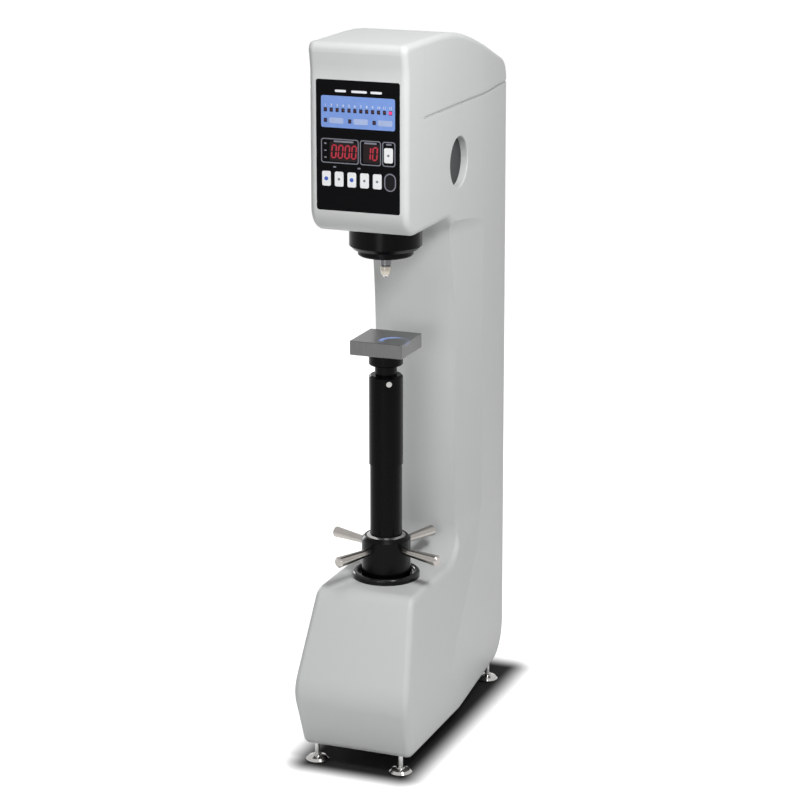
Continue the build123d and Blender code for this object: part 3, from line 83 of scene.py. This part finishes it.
# readout boxes: name, left, right
BOXES = [("box_force", -60, 1), ("box_dwell", 3, 37), ("box_start", 39, 60)]
BOX_BOTTOM = -27
BOX_TOP = 10.5
LAMP_COUNT = 12
LAMP_NUMBER_RISE = 6.8
LAMP_NUMBER_SIZE = 5.4
LAMP_APART = 4.0            # points nearer than this belong to one lamp
LIT_RADIUS = 2.4
LIT_FRONT = 0.5             # lit lens ahead of the panel
LIT_THICKNESS = 0.3
BEZEL_CORNER = 0.8
STATUS_OFFSET = 17.5        # status patch right of its lamp
STATUS_SIZE = (23, 8.5)
STATUS_CORNER = 2
CAPTION_CORNER = 0.45       # share of a bar's height
KEY_DOT = 2.0
KEY_DOT_BLUE = 3.1
BLUE_KEYS = (0, 2)
RING_OUTSIDE = 2.5          # printed ring around the oval key, beyond the key's edge
RING_INSIDE = 0.6
RING_CORNER_OUTSIDE = 2.4
RING_CORNER_INSIDE = 0.5
DISC_STEPS = 20


# ---------------------------------------------------------------- materials
def add_node(tree, kind, **settings):
    node = tree.nodes.new(kind)
    for name, value in settings.items():
        setattr(node, name, value)
    return node


def stretched_coordinates(tree, stretch):
    """Object coordinates scaled along each axis."""
    coordinates = add_node(tree, "ShaderNodeTexCoord")
    mapping = add_node(tree, "ShaderNodeMapping")
    mapping.inputs["Scale"].default_value = stretch
    tree.links.new(coordinates.outputs["Object"], mapping.inputs["Vector"])
    return mapping.outputs["Vector"]


def noise(tree, vector, scale, detail=3.0):
    node = add_node(tree, "ShaderNodeTexNoise")
    node.inputs["Scale"].default_value = scale
    node.inputs["Detail"].default_value = detail
    tree.links.new(vector, node.inputs["Vector"])
    return node.outputs["Fac"]


def remap(tree, value, low, high):
    """A noise value spread between two numbers."""
    node = add_node(tree, "ShaderNodeMapRange")
    node.inputs["From Min"].default_value = 0.3
    node.inputs["From Max"].default_value = 0.7
    node.inputs["To Min"].default_value = low
    node.inputs["To Max"].default_value = high
    tree.links.new(value, node.inputs["Value"])
    return node.outputs["Result"]


def shade_of(tree, factor, dark, light):
    node = add_node(tree, "ShaderNodeMix", data_type="RGBA")
    node.inputs["A"].default_value = (*dark, 1)
    node.inputs["B"].default_value = (*light, 1)
    tree.links.new(factor, node.inputs["Factor"])
    return node.outputs["Result"]


def surface(name, color, rough, metal=0.0, drift=0.05, patch=14.0, grain=900.0, bump=0.0,
            stretch=(1, 1, 1), coat=0.0, glow=0.0, specular=0.5):
    """Principled material with a slow drift in colour and a finer one in roughness."""
    material = bpy.data.materials.new(name)
    material.use_nodes = True
    tree = material.node_tree
    shader = tree.nodes["Principled BSDF"]
    vector = stretched_coordinates(tree, stretch)
    dark = [channel * (1 - drift) for channel in color]
    light = [min(1.0, channel * (1 + drift)) for channel in color]
    tone = shade_of(tree, noise(tree, vector, patch), dark, light)
    tree.links.new(tone, shader.inputs["Base Color"])
    fine = noise(tree, vector, grain, 2.0)
    tree.links.new(remap(tree, fine, rough * 0.88, rough * 1.12), shader.inputs["Roughness"])
    shader.inputs["Metallic"].default_value = metal
    shader.inputs["Coat Weight"].default_value = coat
    shader.inputs["Specular IOR Level"].default_value = specular
    if glow:
        tree.links.new(tone, shader.inputs["Emission Color"])
        shader.inputs["Emission Strength"].default_value = glow
    if bump:
        height = add_node(tree, "ShaderNodeBump")
        height.inputs["Distance"].default_value = bump * MM
        tree.links.new(fine, height.inputs["Height"])
        tree.links.new(height.outputs["Normal"], shader.inputs["Normal"])
    return material


TURNED = (1, 1, 30)         # streaks that run around an upright turned part
# the anvil's painted reflection, a bluish crescent of reflected light painted into its colour, in
# shares of its box
REFLECTION_CENTRE = (0.76, 0.27, 1.0)
REFLECTION_RADIUS = 0.245
REFLECTION_WIDTH = 0.065
REFLECTION_FOOT = (0.05, 0.30)     # it fades out between these depths
REFLECTION_BLUE = (0.30, 0.46, 1.0, 1)

MATERIALS = {
    "enamel": surface("enamel", (0.60, 0.615, 0.61), 0.42, drift=0.012, patch=5, grain=700,
                      bump=0.015, specular=0.3),
    "cover_enamel": surface("cover_enamel", (0.60, 0.615, 0.61), 0.42, drift=0.012, patch=5,
                            grain=700, bump=0.015, specular=0.3),
    "panel_black": surface("panel_black", (0.002, 0.002, 0.0025), 0.45, drift=0.25, patch=60,
                           specular=0.04),
    "plug_grey": surface("plug_grey", (0.022, 0.023, 0.025), 0.6, drift=0.25, patch=40, bump=0.05),
    "window_red": surface("window_red", (0.010, 0.004, 0.005), 0.15, drift=0.3, patch=80,
                          specular=0.2),
    "led_dark": surface("led_dark", (0.045, 0.004, 0.010), 0.25, drift=0.3, patch=400),
    "key_white": surface("key_white", (0.80, 0.81, 0.82), 0.45, drift=0.02, patch=120),
    "key_dark": surface("key_dark", (0.006, 0.006, 0.008), 0.4, drift=0.2, patch=120, specular=0.1),
    "black_oxide": surface("black_oxide", (0.0015, 0.0015, 0.002), 0.22, drift=0.3, patch=30,
                           grain=60, stretch=TURNED, specular=0.08),
    "tube_black": surface("tube_black", (0.0015, 0.0015, 0.002), 0.2, drift=0.3, patch=25,
                          specular=0.06),
    "gloss_black": surface("gloss_black", (0.004, 0.004, 0.004), 0.12, drift=0.3, patch=25,
                           specular=0.2),
    "ground_steel": surface("ground_steel", (0.50, 0.50, 0.49), 0.28, metal=1.0, drift=0.08,
                            grain=60, patch=18, stretch=TURNED),
    "bar_steel": surface("bar_steel", (0.36, 0.34, 0.32), 0.24, metal=1.0, drift=0.10, patch=35,
                         grain=500),
    "milled_steel": surface("milled_steel", (0.42, 0.43, 0.43), 0.35, metal=1.0, drift=0.08,
                            patch=30),
    "anvil_steel": surface("anvil_steel", (0.14, 0.14, 0.14), 0.32, metal=0.85, drift=0.12,
                           patch=40, grain=300, stretch=(14, 1, 1)),
    "holder_steel": surface("holder_steel", (0.14, 0.14, 0.145), 0.20, metal=1.0, drift=0.10,
                            grain=60, patch=30, stretch=TURNED),
    "cap_steel": surface("cap_steel", (0.40, 0.37, 0.32), 0.12, metal=1.0, drift=0.12, grain=60,
                         patch=60, stretch=TURNED),
    "chrome": surface("chrome", (0.46, 0.45, 0.44), 0.10, metal=1.0, drift=0.04, patch=40),
    "zinc": surface("zinc", (0.48, 0.48, 0.47), 0.34, metal=1.0, drift=0.08, patch=60),
    "bronze": surface("bronze", (0.42, 0.25, 0.10), 0.33, metal=1.0, drift=0.10, grain=60,
                      stretch=TURNED),
    "aluminium": surface("aluminium", (0.62, 0.63, 0.64), 0.33, metal=1.0, drift=0.05, patch=30),
    "board_green": surface("board_green", (0.010, 0.10, 0.035), 0.3, drift=0.2, patch=90, coat=0.3),
    "belt_black": surface("belt_black", (0.012, 0.012, 0.012), 0.7, drift=0.3, patch=90, bump=0.08),
    "plastic_black": surface("plastic_black", (0.012, 0.012, 0.013), 0.45, drift=0.25, patch=90,
                             bump=0.03),
    "field_blue": surface("field_blue", (0.17, 0.29, 0.66), 0.5, drift=0.10, patch=70),
    "print_white": surface("print_white", (0.78, 0.80, 0.84), 0.5, drift=0.05, patch=120),
    "print_grey": surface("print_grey", (0.16, 0.165, 0.20), 0.5, drift=0.12, patch=120),
    "print_pale": surface("print_pale", (0.36, 0.44, 0.68), 0.5, drift=0.10, patch=150),
    "print_dark": surface("print_dark", (0.012, 0.010, 0.022), 0.5, drift=0.20, patch=150,
                          specular=0.1),
    "print_blue": surface("print_blue", (0.03, 0.09, 0.45), 0.5, drift=0.12, patch=200),
    "digit_red": surface("digit_red", (0.34, 0.002, 0.020), 0.4, drift=0.15, patch=150, glow=0.25),
    "led_lit": surface("led_lit", (0.80, 0.02, 0.14), 0.3, drift=0.12, patch=400, glow=0.8),
}



def paint_anvil_reflection(material):
    """Painted reflection: a bluish crescent of reflected light painted into the anvil top's colour,
    right of its middle; it fades towards the right edge.
    """
    tree = material.node_tree
    shader = tree.nodes["Principled BSDF"]
    plate = add_node(tree, "ShaderNodeTexCoord").outputs["Generated"]
    offset = add_node(tree, "ShaderNodeVectorMath", operation="SUBTRACT")
    tree.links.new(plate, offset.inputs[0])
    offset.inputs[1].default_value = REFLECTION_CENTRE
    distance = add_node(tree, "ShaderNodeVectorMath", operation="LENGTH")
    tree.links.new(offset.outputs["Vector"], distance.inputs[0])
    beyond = add_node(tree, "ShaderNodeMath", operation="SUBTRACT")
    tree.links.new(distance.outputs["Value"], beyond.inputs[0])
    beyond.inputs[1].default_value = REFLECTION_RADIUS
    off_line = add_node(tree, "ShaderNodeMath", operation="ABSOLUTE")
    tree.links.new(beyond.outputs[0], off_line.inputs[0])
    line = add_node(tree, "ShaderNodeMapRange", interpolation_type="SMOOTHSTEP")
    line.inputs["From Min"].default_value = REFLECTION_WIDTH * 0.4
    line.inputs["From Max"].default_value = REFLECTION_WIDTH
    line.inputs["To Min"].default_value = 1.0
    line.inputs["To Max"].default_value = 0.0
    tree.links.new(off_line.outputs[0], line.inputs["Value"])
    split = add_node(tree, "ShaderNodeSeparateXYZ")
    tree.links.new(plate, split.inputs[0])
    fade = add_node(tree, "ShaderNodeMapRange", interpolation_type="SMOOTHSTEP")
    fade.inputs["From Min"].default_value = REFLECTION_CENTRE[0] - REFLECTION_RADIUS / 2
    fade.inputs["From Max"].default_value = REFLECTION_CENTRE[0] + REFLECTION_RADIUS / 2
    fade.inputs["To Min"].default_value = 1.0
    fade.inputs["To Max"].default_value = 0.12
    tree.links.new(split.outputs["X"], fade.inputs["Value"])
    foot = add_node(tree, "ShaderNodeMapRange", interpolation_type="SMOOTHSTEP")
    foot.inputs["From Min"].default_value = REFLECTION_FOOT[0]
    foot.inputs["From Max"].default_value = REFLECTION_FOOT[1]
    tree.links.new(split.outputs["Y"], foot.inputs["Value"])
    sides = add_node(tree, "ShaderNodeMath", operation="MULTIPLY")
    tree.links.new(fade.outputs["Result"], sides.inputs[0])
    tree.links.new(foot.outputs["Result"], sides.inputs[1])
    painted_reflection_mask = add_node(tree, "ShaderNodeMath", operation="MULTIPLY")
    tree.links.new(line.outputs["Result"], painted_reflection_mask.inputs[0])
    tree.links.new(sides.outputs[0], painted_reflection_mask.inputs[1])
    steel = shader.inputs["Base Color"].links[0].from_socket
    # the painted reflection's blue replaces the steel's colour and its metalness
    tone = add_node(tree, "ShaderNodeMix", data_type="RGBA")
    tree.links.new(painted_reflection_mask.outputs[0], tone.inputs["Factor"])
    tree.links.new(steel, tone.inputs["A"])
    tone.inputs["B"].default_value = REFLECTION_BLUE
    tree.links.new(tone.outputs["Result"], shader.inputs["Base Color"])
    metal = add_node(tree, "ShaderNodeMapRange")
    metal.inputs["To Min"].default_value = shader.inputs["Metallic"].default_value
    metal.inputs["To Max"].default_value = 0.0
    tree.links.new(painted_reflection_mask.outputs[0], metal.inputs["Value"])
    tree.links.new(metal.outputs["Result"], shader.inputs["Metallic"])


# paints a bluish reflection into the anvil steel's colour
paint_anvil_reflection(MATERIALS["anvil_steel"])

NODE_MATERIALS = {
    "enamel": ["frame_casting"],
    "cover_enamel": ["top_rear_cover"],
    "panel_black": ["front_panel"],
    "plug_grey": ["side_port_plugs"],
    "window_red": ["readout_windows"],
    "led_dark": ["indicator_leds"],
    "key_white": ["panel_key_1", "panel_key_2", "panel_key_3", "panel_key_4", "panel_key_5",
                  "start_key"],
    "key_dark": ["panel_key_6"],
    "black_oxide": ["spindle_shroud", "anvil_seat", "capstan_nut", "cover_screws", "load_motor"],
    "tube_black": ["outer_dust_tube", "middle_dust_tube", "inner_dust_tube"],
    "gloss_black": ["dust_ring"],
    "ground_steel": ["elevating_screw", "spindle", "guide_posts", "ball_screw", "ball_nut",
                     "load_cell"],
    "bar_steel": ["lever_bars"],
    "milled_steel": ["bridge_plate", "crosshead"],
    "anvil_steel": ["anvil"],
    "holder_steel": ["indenter_holder"],
    "cap_steel": ["ball_cap"],
    "chrome": ["foot_front_left", "foot_front_right", "foot_rear_left", "foot_rear_right",
               "indenter_ball", "ball_screw_bearing", "thrust_bearing", "tube_set_screw",
               "wiper_ring"],
    "zinc": ["foot_stud_front_left", "foot_stud_front_right", "foot_stud_rear_left",
             "foot_stud_rear_right", "bottom_plate", "bottom_plate_screws"],
    "bronze": ["spindle_bush", "screw_key_bush"],
    "aluminium": ["driven_pulley", "motor_pulley", "power_supply"],
    "board_green": ["control_board"],
    "belt_black": ["timing_belt"],
    "plastic_black": ["power_inlet", "switch_frame", "power_rocker", "readout_modules"],
}


def dress_nodes():
    for material, names in NODE_MATERIALS.items():
        for name in names:
            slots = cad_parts[name].material_slots
            for slot in slots:
                slot.material = MATERIALS[material]


# ---------------------------------------------------------------- reading the frame
def islands(node, gap):
    """Centres of a node's separate solids: vertices nearer than gap as seen from the front."""
    points = [vertex.co.copy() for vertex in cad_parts[node].data.vertices]
    tree = KDTree(len(points))
    for index, point in enumerate(points):
        tree.insert((point.x, 0, point.z), index)
    tree.balance()
    waiting = set(range(len(points)))
    centres = []
    while waiting:
        front = [waiting.pop()]
        group = list(front)
        while front:
            here = points[front.pop()]
            near = [found[1] for found in tree.find_range((here.x, 0, here.z), gap)]
            fresh = [index for index in near if index in waiting]
            waiting.difference_update(fresh)
            front += fresh
            group += fresh
        low = [min(points[index][axis] for index in group) for axis in range(3)]
        high = [max(points[index][axis] for index in group) for axis in range(3)]
        centres.append(Vector([(a + b) / 2 for a, b in zip(low, high)]))
    return centres


# ---------------------------------------------------------------- meshes
def make_piece(name, vertices, faces, material, body):
    mesh = bpy.data.meshes.new(name)
    mesh.from_pydata(vertices, [], faces)
    mesh.update()
    mesh.materials.append(MATERIALS[material])
    piece = bpy.data.objects.new(name, mesh)
    bpy.context.collection.objects.link(piece)
    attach(piece, body)
    return piece


def rounded_loop(x, z, width, height, corner, steps=6):
    """Points around a rounded rectangle, anticlockwise as seen from the front."""
    loop = []
    for quarter in range(4):
        sign_x = (1, -1, -1, 1)[quarter]
        sign_z = (1, 1, -1, -1)[quarter]
        centre_x = x + sign_x * (width / 2 - corner)
        centre_z = z + sign_z * (height / 2 - corner)
        for step in range(steps + 1):
            angle = math.pi / 2 * (quarter + step / steps)
            loop.append((centre_x + corner * math.cos(angle), centre_z + corner * math.sin(angle)))
    return loop


def slab(name, loop, front, thickness, material, body="frame"):
    """Flat piece with a given outline, standing proud of a face that looks towards -Y."""
    count = len(loop)
    vertices = [(x, front - thickness, z) for x, z in loop]
    vertices += [(x, front, z) for x, z in loop]
    faces = [list(range(count)), list(range(2 * count - 1, count - 1, -1))]
    for index in range(count):
        after = (index + 1) % count
        faces.append([after, index, count + index, count + after])
    return make_piece(name, vertices, faces, material, body)


def band(name, outer, inner, front, thickness, material, body="frame"):
    """Closed printed line between two loops of the same length."""
    count = len(outer)
    vertices = []
    for loop in (outer, inner):
        vertices += [(x, front - thickness, z) for x, z in loop]
    for loop in (outer, inner):
        vertices += [(x, front, z) for x, z in loop]
    faces = []
    for index in range(count):
        after = (index + 1) % count
        faces.append([index, after, count + after, count + index])
        faces.append([2 * count + after, 2 * count + index, 3 * count + index, 3 * count + after])
        faces.append([after, index, 2 * count + index, 2 * count + after])
        faces.append([count + index, count + after, 3 * count + after, 3 * count + index])
    return make_piece(name, vertices, faces, material, body)


def disc_loop(x, z, radius):
    """Points around a circle."""
    angles = [2 * math.pi * step / DISC_STEPS for step in range(DISC_STEPS)]
    return [(x + radius * math.cos(angle), z + radius * math.sin(angle)) for angle in angles]


# ---------------------------------------------------------------- keypad
PANEL_LOW, PANEL_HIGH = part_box("front_panel")
PANEL_FRONT = PANEL_LOW[1]
PANEL_X = (PANEL_LOW[0] + PANEL_HIGH[0]) / 2
PANEL_Z = (PANEL_LOW[2] + PANEL_HIGH[2]) / 2


def printed(name, x, z, width, height, corner, material, layer=1):
    """Rounded printed patch, placed in millimetres from the panel's centre."""
    loop = rounded_loop(PANEL_X + x * MM, PANEL_Z + z * MM, width * MM, height * MM, corner * MM)
    front = PANEL_FRONT - (layer - 1) * PRINT_THICKNESS * MM
    return slab(name, loop, front, PRINT_THICKNESS * MM, material)


def outlined_box(name, left, right, bottom, top):
    """Pale line around a group of readings."""
    x = PANEL_X + (left + right) / 2 * MM
    z = PANEL_Z + (bottom + top) / 2 * MM
    width = (right - left) * MM
    height = (top - bottom) * MM
    line = OUTLINE_WIDTH * MM
    outer = rounded_loop(x, z, width, height, BOX_CORNER * MM)
    inner = rounded_loop(x, z, width - 2 * line, height - 2 * line, BOX_CORNER_INSIDE * MM)
    band(name, outer, inner, PANEL_FRONT, PRINT_THICKNESS * MM, "print_grey")


# segments that each digit lights: top, top right, bottom right, bottom, bottom left, top left, middle
SEGMENTS = {"0": (1, 1, 1, 1, 1, 1, 0), "1": (0, 1, 1, 0, 0, 0, 0)}


def digit(name, character, x, z, front):
    """Seven-segment digit as one piece; x and z are its centre in metres."""
    half_x = (DIGIT_WIDTH - DIGIT_STROKE) / 2 * MM
    half_z = (DIGIT_HEIGHT - DIGIT_STROKE) / 2 * MM
    gap = DIGIT_GAP * MM
    points = {
        "tl": (-half_x, half_z), "tr": (half_x, half_z), "ml": (-half_x, 0), "mr": (half_x, 0),
        "bl": (-half_x, -half_z), "br": (half_x, -half_z),
    }
    runs = [("tl", "tr"), ("tr", "mr"), ("mr", "br"), ("bl", "br"), ("ml", "bl"), ("tl", "ml"),
            ("ml", "mr")]
    vertices, faces = [], []
    for lit, (start, end) in zip(SEGMENTS[character], runs):
        if not lit:
            continue
        a, b = Vector(points[start]), Vector(points[end])
        along = (b - a).normalized()
        across = Vector((-along.y, along.x)) * DIGIT_STROKE / 2 * MM
        a, b = a + along * gap, b - along * gap
        inset = along * DIGIT_STROKE / 2 * MM
        outline = [a, a + inset + across, b - inset + across,
                   b, b - inset - across, a + inset - across]
        base = len(vertices)
        for depth in (front - PRINT_THICKNESS * MM, front):
            vertices += [(x + p.x + p.y * DIGIT_SLANT, depth, z + p.y) for p in outline]
        count = len(outline)
        faces.append([base + index for index in range(count)])
        faces.append([base + 2 * count - 1 - index for index in range(count)])
        for index in range(count):
            after = (index + 1) % count
            faces.append([base + after, base + index, base + count + index, base + count + after])
    make_piece(name, vertices, faces, "digit_red", "frame")


def number(name, text, x, z, size, material="print_white"):
    """Plain printed number facing the operator, in millimetres from the panel's centre."""
    curve = bpy.data.curves.new(name, "FONT")
    curve.body = text
    curve.size = size * MM
    curve.align_x = "CENTER"
    curve.align_y = "CENTER"
    curve.extrude = PRINT_THICKNESS / 2 * MM
    curve.resolution_u = 3
    curve.materials.append(MATERIALS[material])
    piece = bpy.data.objects.new(name, curve)
    front = PANEL_FRONT - 1.5 * PRINT_THICKNESS * MM
    piece.location = (PANEL_X + x * MM, front, PANEL_Z + z * MM)
    piece.rotation_euler = (math.pi / 2, 0, 0)
    bpy.context.collection.objects.link(piece)
    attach(piece, "frame")


def print_field():
    """Blue field with twelve numbered lamps and three status lamps."""
    printed("load_field", 0, FIELD_RISE, *FIELD_SIZE, FIELD_CORNER, "field_blue")
    lamps = islands("indicator_leds", LAMP_APART * MM)
    lamps.sort(key=lambda centre: (-round(centre.z, 3), centre.x))
    scale, status = lamps[:LAMP_COUNT], lamps[LAMP_COUNT:]
    for index, centre in enumerate(scale):
        x = (centre.x - PANEL_X) / MM
        z = (centre.z - PANEL_Z) / MM
        printed(f"lamp_bezel_{index + 1}", x, z, *BEZEL_SIZE, BEZEL_CORNER, "print_dark", layer=2)
        number(f"scale_number_{index + 1}", str(index + 1), x, z + LAMP_NUMBER_RISE, LAMP_NUMBER_SIZE)
    for index, centre in enumerate(status):
        x = (centre.x - PANEL_X) / MM
        z = (centre.z - PANEL_Z) / MM
        printed(f"status_bezel_{index + 1}", x, z, *BEZEL_SIZE, BEZEL_CORNER, "print_dark", layer=2)
        printed(f"status_patch_{index + 1}", x + STATUS_OFFSET, z, *STATUS_SIZE, STATUS_CORNER,
                "print_pale", layer=2)
    lit = scale[-1]
    front = PANEL_FRONT - LIT_FRONT * MM
    loop = disc_loop(lit.x, lit.z, LIT_RADIUS * MM)
    slab("lit_lamp", loop, front, LIT_THICKNESS * MM, "led_lit")


# plain bars that stand for captions: name, x, height, width, height of the bar
CAPTION_BARS = [
    ("heading_left", -28.0, 82.5, 18.0, 3.6, "print_white"),
    ("heading_middle", 2.0, 82.5, 25.0, 3.6, "print_white"),
    ("heading_right", 29.5, 82.5, 18.5, 3.6, "print_white"),
    ("caption_force", -23.5, 6.4, 32.0, 2.6, "print_grey"),
    ("caption_dwell", 20.0, 6.4, 20.0, 2.6, "print_grey"),
    ("caption_start", 49.5, 6.4, 9.0, 2.6, "print_grey"),
    ("key_tick_left", -38.0, -32.5, 5.0, 2.4, "print_grey"),
    ("key_tick_right", 1.5, -32.5, 5.0, 2.4, "print_grey"),
    ("force_unit_high", -53.0, 2.5, 4.0, 2.4, "print_grey"),
    ("force_unit_middle", -53.0, -8.0, 4.0, 2.0, "print_grey"),
    ("force_unit_low", -53.0, -18.5, 4.0, 2.4, "print_grey"),
]


def print_captions():
    for name, x, z, width, height, material in CAPTION_BARS:
        printed(name, x, z, width, height, height * CAPTION_CORNER, material)


def print_readouts():
    for name, left, right in BOXES:
        outlined_box(name, left, right, BOX_BOTTOM, BOX_TOP)
    for name, (text, first) in (("force_digit", FORCE_DIGITS), ("dwell_digit", DWELL_DIGITS)):
        for index, character in enumerate(text):
            x = PANEL_X + (first + DIGIT_PITCH * index) * MM
            digit(f"{name}_{index + 1}", character, x, PANEL_Z + DIGIT_LINE * MM, PANEL_FRONT)


def print_keys():
    """Dots on the key caps and a ring around the oval key."""
    names = [f"panel_key_{index}" for index in range(1, 6)] + ["start_key"]
    for index, name in enumerate(names):
        low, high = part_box(name)
        x, z = (low[0] + high[0]) / 2, (low[2] + high[2]) / 2
        tint = "print_blue" if index in BLUE_KEYS else "print_grey"
        loop = disc_loop(x, z, (KEY_DOT_BLUE if index in BLUE_KEYS else KEY_DOT) * MM)
        slab(f"{name}_mark", loop, low[1], PRINT_THICKNESS * MM, tint, f"{name}_body")
    low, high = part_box("panel_key_6")
    x, z = (low[0] + high[0]) / 2, (low[2] + high[2]) / 2
    width, height = high[0] - low[0], high[2] - low[2]
    loops = []
    for margin, corner in ((RING_OUTSIDE, RING_CORNER_OUTSIDE), (RING_INSIDE, RING_CORNER_INSIDE)):
        grow = 2 * margin * MM
        loops.append(rounded_loop(x, z, width + grow, height + grow, width / 2 + corner * MM))
    outer, inner = loops
    band("key_6_ring", outer, inner, PANEL_FRONT, PRINT_THICKNESS * MM, "print_grey")


# ---------------------------------------------------------------- stage, lamps, camera
def outside_painted_shadow(tree):
    """Share outside the painted shadow: nought under the casting, rising to one a short way outside
    it.
    """
    low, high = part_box("frame_casting")
    half_x = (high[0] - low[0]) / 2 - FOOTPRINT_INSET
    half_y = (high[1] - low[1]) / 2 - FOOTPRINT_INSET
    here = add_node(tree, "ShaderNodeTexCoord").outputs["Object"]
    for operation, value in (
        ("SUBTRACT", ((low[0] + high[0]) / 2, (low[1] + high[1]) / 2, 0)),
        ("ABSOLUTE", None),
        ("SUBTRACT", (half_x, half_y, 0)),
        ("MAXIMUM", (0, 0, 0)),
    ):
        step = add_node(tree, "ShaderNodeVectorMath", operation=operation)
        tree.links.new(here, step.inputs[0])
        if value:
            step.inputs[1].default_value = value
        here = step.outputs["Vector"]
    distance = add_node(tree, "ShaderNodeVectorMath", operation="LENGTH")
    tree.links.new(here, distance.inputs[0])
    share = add_node(tree, "ShaderNodeMapRange", interpolation_type="SMOOTHSTEP")
    share.inputs["From Max"].default_value = FLOOR_SHADOW
    tree.links.new(distance.outputs["Value"], share.inputs["Value"])
    return share.outputs["Result"]


def white_to_camera(tree, shader_output, target, lift):
    """Adds a white glow that only the camera, mirrors and glass see."""
    path = add_node(tree, "ShaderNodeLightPath")
    seen = add_node(tree, "ShaderNodeMath", operation="ADD", use_clamp=True)
    tree.links.new(path.outputs["Is Camera Ray"], seen.inputs[0])
    tree.links.new(path.outputs["Is Glossy Ray"], seen.inputs[1])
    all_seen = add_node(tree, "ShaderNodeMath", operation="ADD", use_clamp=True)
    tree.links.new(seen.outputs[0], all_seen.inputs[0])
    tree.links.new(path.outputs["Is Transmission Ray"], all_seen.inputs[1])
    strength = add_node(tree, "ShaderNodeMath", operation="MULTIPLY")
    tree.links.new(all_seen.outputs[0], strength.inputs[0])
    tree.links.new(lift, strength.inputs[1])
    glow = add_node(tree, "ShaderNodeEmission")
    tree.links.new(strength.outputs[0], glow.inputs["Strength"])
    total = add_node(tree, "ShaderNodeAddShader")
    tree.links.new(shader_output, total.inputs[0])
    tree.links.new(glow.outputs[0], total.inputs[1])
    tree.links.new(total.outputs[0], target)


def make_floor():
    mesh = bpy.data.meshes.new("studio_floor")
    half = FLOOR_REACH
    corners = [(-half, -half, 0), (half, -half, 0), (half, half, 0), (-half, half, 0)]
    mesh.from_pydata(corners, [], [(0, 1, 2, 3)])
    material = bpy.data.materials.new("floor_white")
    material.use_nodes = True
    tree = material.node_tree
    shader = tree.nodes["Principled BSDF"]
    share = outside_painted_shadow(tree)
    # painted shadow: the floor's colour goes dark under the machine, and the camera-only lift is held
    # back there
    tree.links.new(shade_of(tree, share, FLOOR_PAINTED_SHADOW, FLOOR_TONE), shader.inputs["Base Color"])
    lift = add_node(tree, "ShaderNodeMath", operation="MULTIPLY")
    tree.links.new(share, lift.inputs[0])
    lift.inputs[1].default_value = FLOOR_LIFT
    shader.inputs["Roughness"].default_value = 0.9
    shader.inputs["Specular IOR Level"].default_value = 0.1
    output = tree.nodes["Material Output"]
    white_to_camera(tree, shader.outputs[0], output.inputs["Surface"], lift.outputs[0])
    mesh.materials.append(material)
    floor = bpy.data.objects.new("studio_floor", mesh)
    bpy.context.collection.objects.link(floor)


def make_world():
    world = bpy.data.worlds.new("studio")
    bpy.context.scene.world = world
    world.use_nodes = True
    tree = world.node_tree
    background = tree.nodes["Background"]
    background.inputs["Color"].default_value = (1, 1, 1, 1)
    path = add_node(tree, "ShaderNodeLightPath")
    direct = add_node(tree, "ShaderNodeMath", operation="MAXIMUM")
    tree.links.new(path.outputs["Is Camera Ray"], direct.inputs[0])
    tree.links.new(path.outputs["Is Glossy Ray"], direct.inputs[1])
    seen = add_node(tree, "ShaderNodeMath", operation="MAXIMUM")
    tree.links.new(direct.outputs[0], seen.inputs[0])
    tree.links.new(path.outputs["Is Transmission Ray"], seen.inputs[1])
    strength = add_node(tree, "ShaderNodeMapRange")
    strength.inputs["To Min"].default_value = AMBIENT
    strength.inputs["To Max"].default_value = 1.0
    tree.links.new(seen.outputs[0], strength.inputs["Value"])
    tree.links.new(strength.outputs["Result"], background.inputs["Strength"])


def make_lamp(name, place, aim, size, watts):
    light = bpy.data.lights.new(name, "AREA")
    light.shape = "DISK"
    light.size = size
    light.energy = watts
    lamp = bpy.data.objects.new(name, light)
    lamp.location = place
    lamp.rotation_euler = (Vector(aim) - Vector(place)).to_track_quat("-Z", "Y").to_euler()
    bpy.context.collection.objects.link(lamp)


def make_camera():
    data = bpy.data.cameras.new("camera")
    data.lens = CAMERA_LENS
    camera = bpy.data.objects.new("camera", data)
    camera.location = CAMERA_PLACE
    camera.rotation_euler = (math.pi / 2 - CAMERA_TILT, 0, CAMERA_AZIMUTH)
    bpy.context.collection.objects.link(camera)
    bpy.context.scene.camera = camera


dress_nodes()
print_field()
print_captions()
print_readouts()
print_keys()
make_floor()
make_world()
for lamp_facts in LAMPS:
    make_lamp(*lamp_facts)
make_camera()
bpy.context.scene.view_settings.view_transform = "Standard"
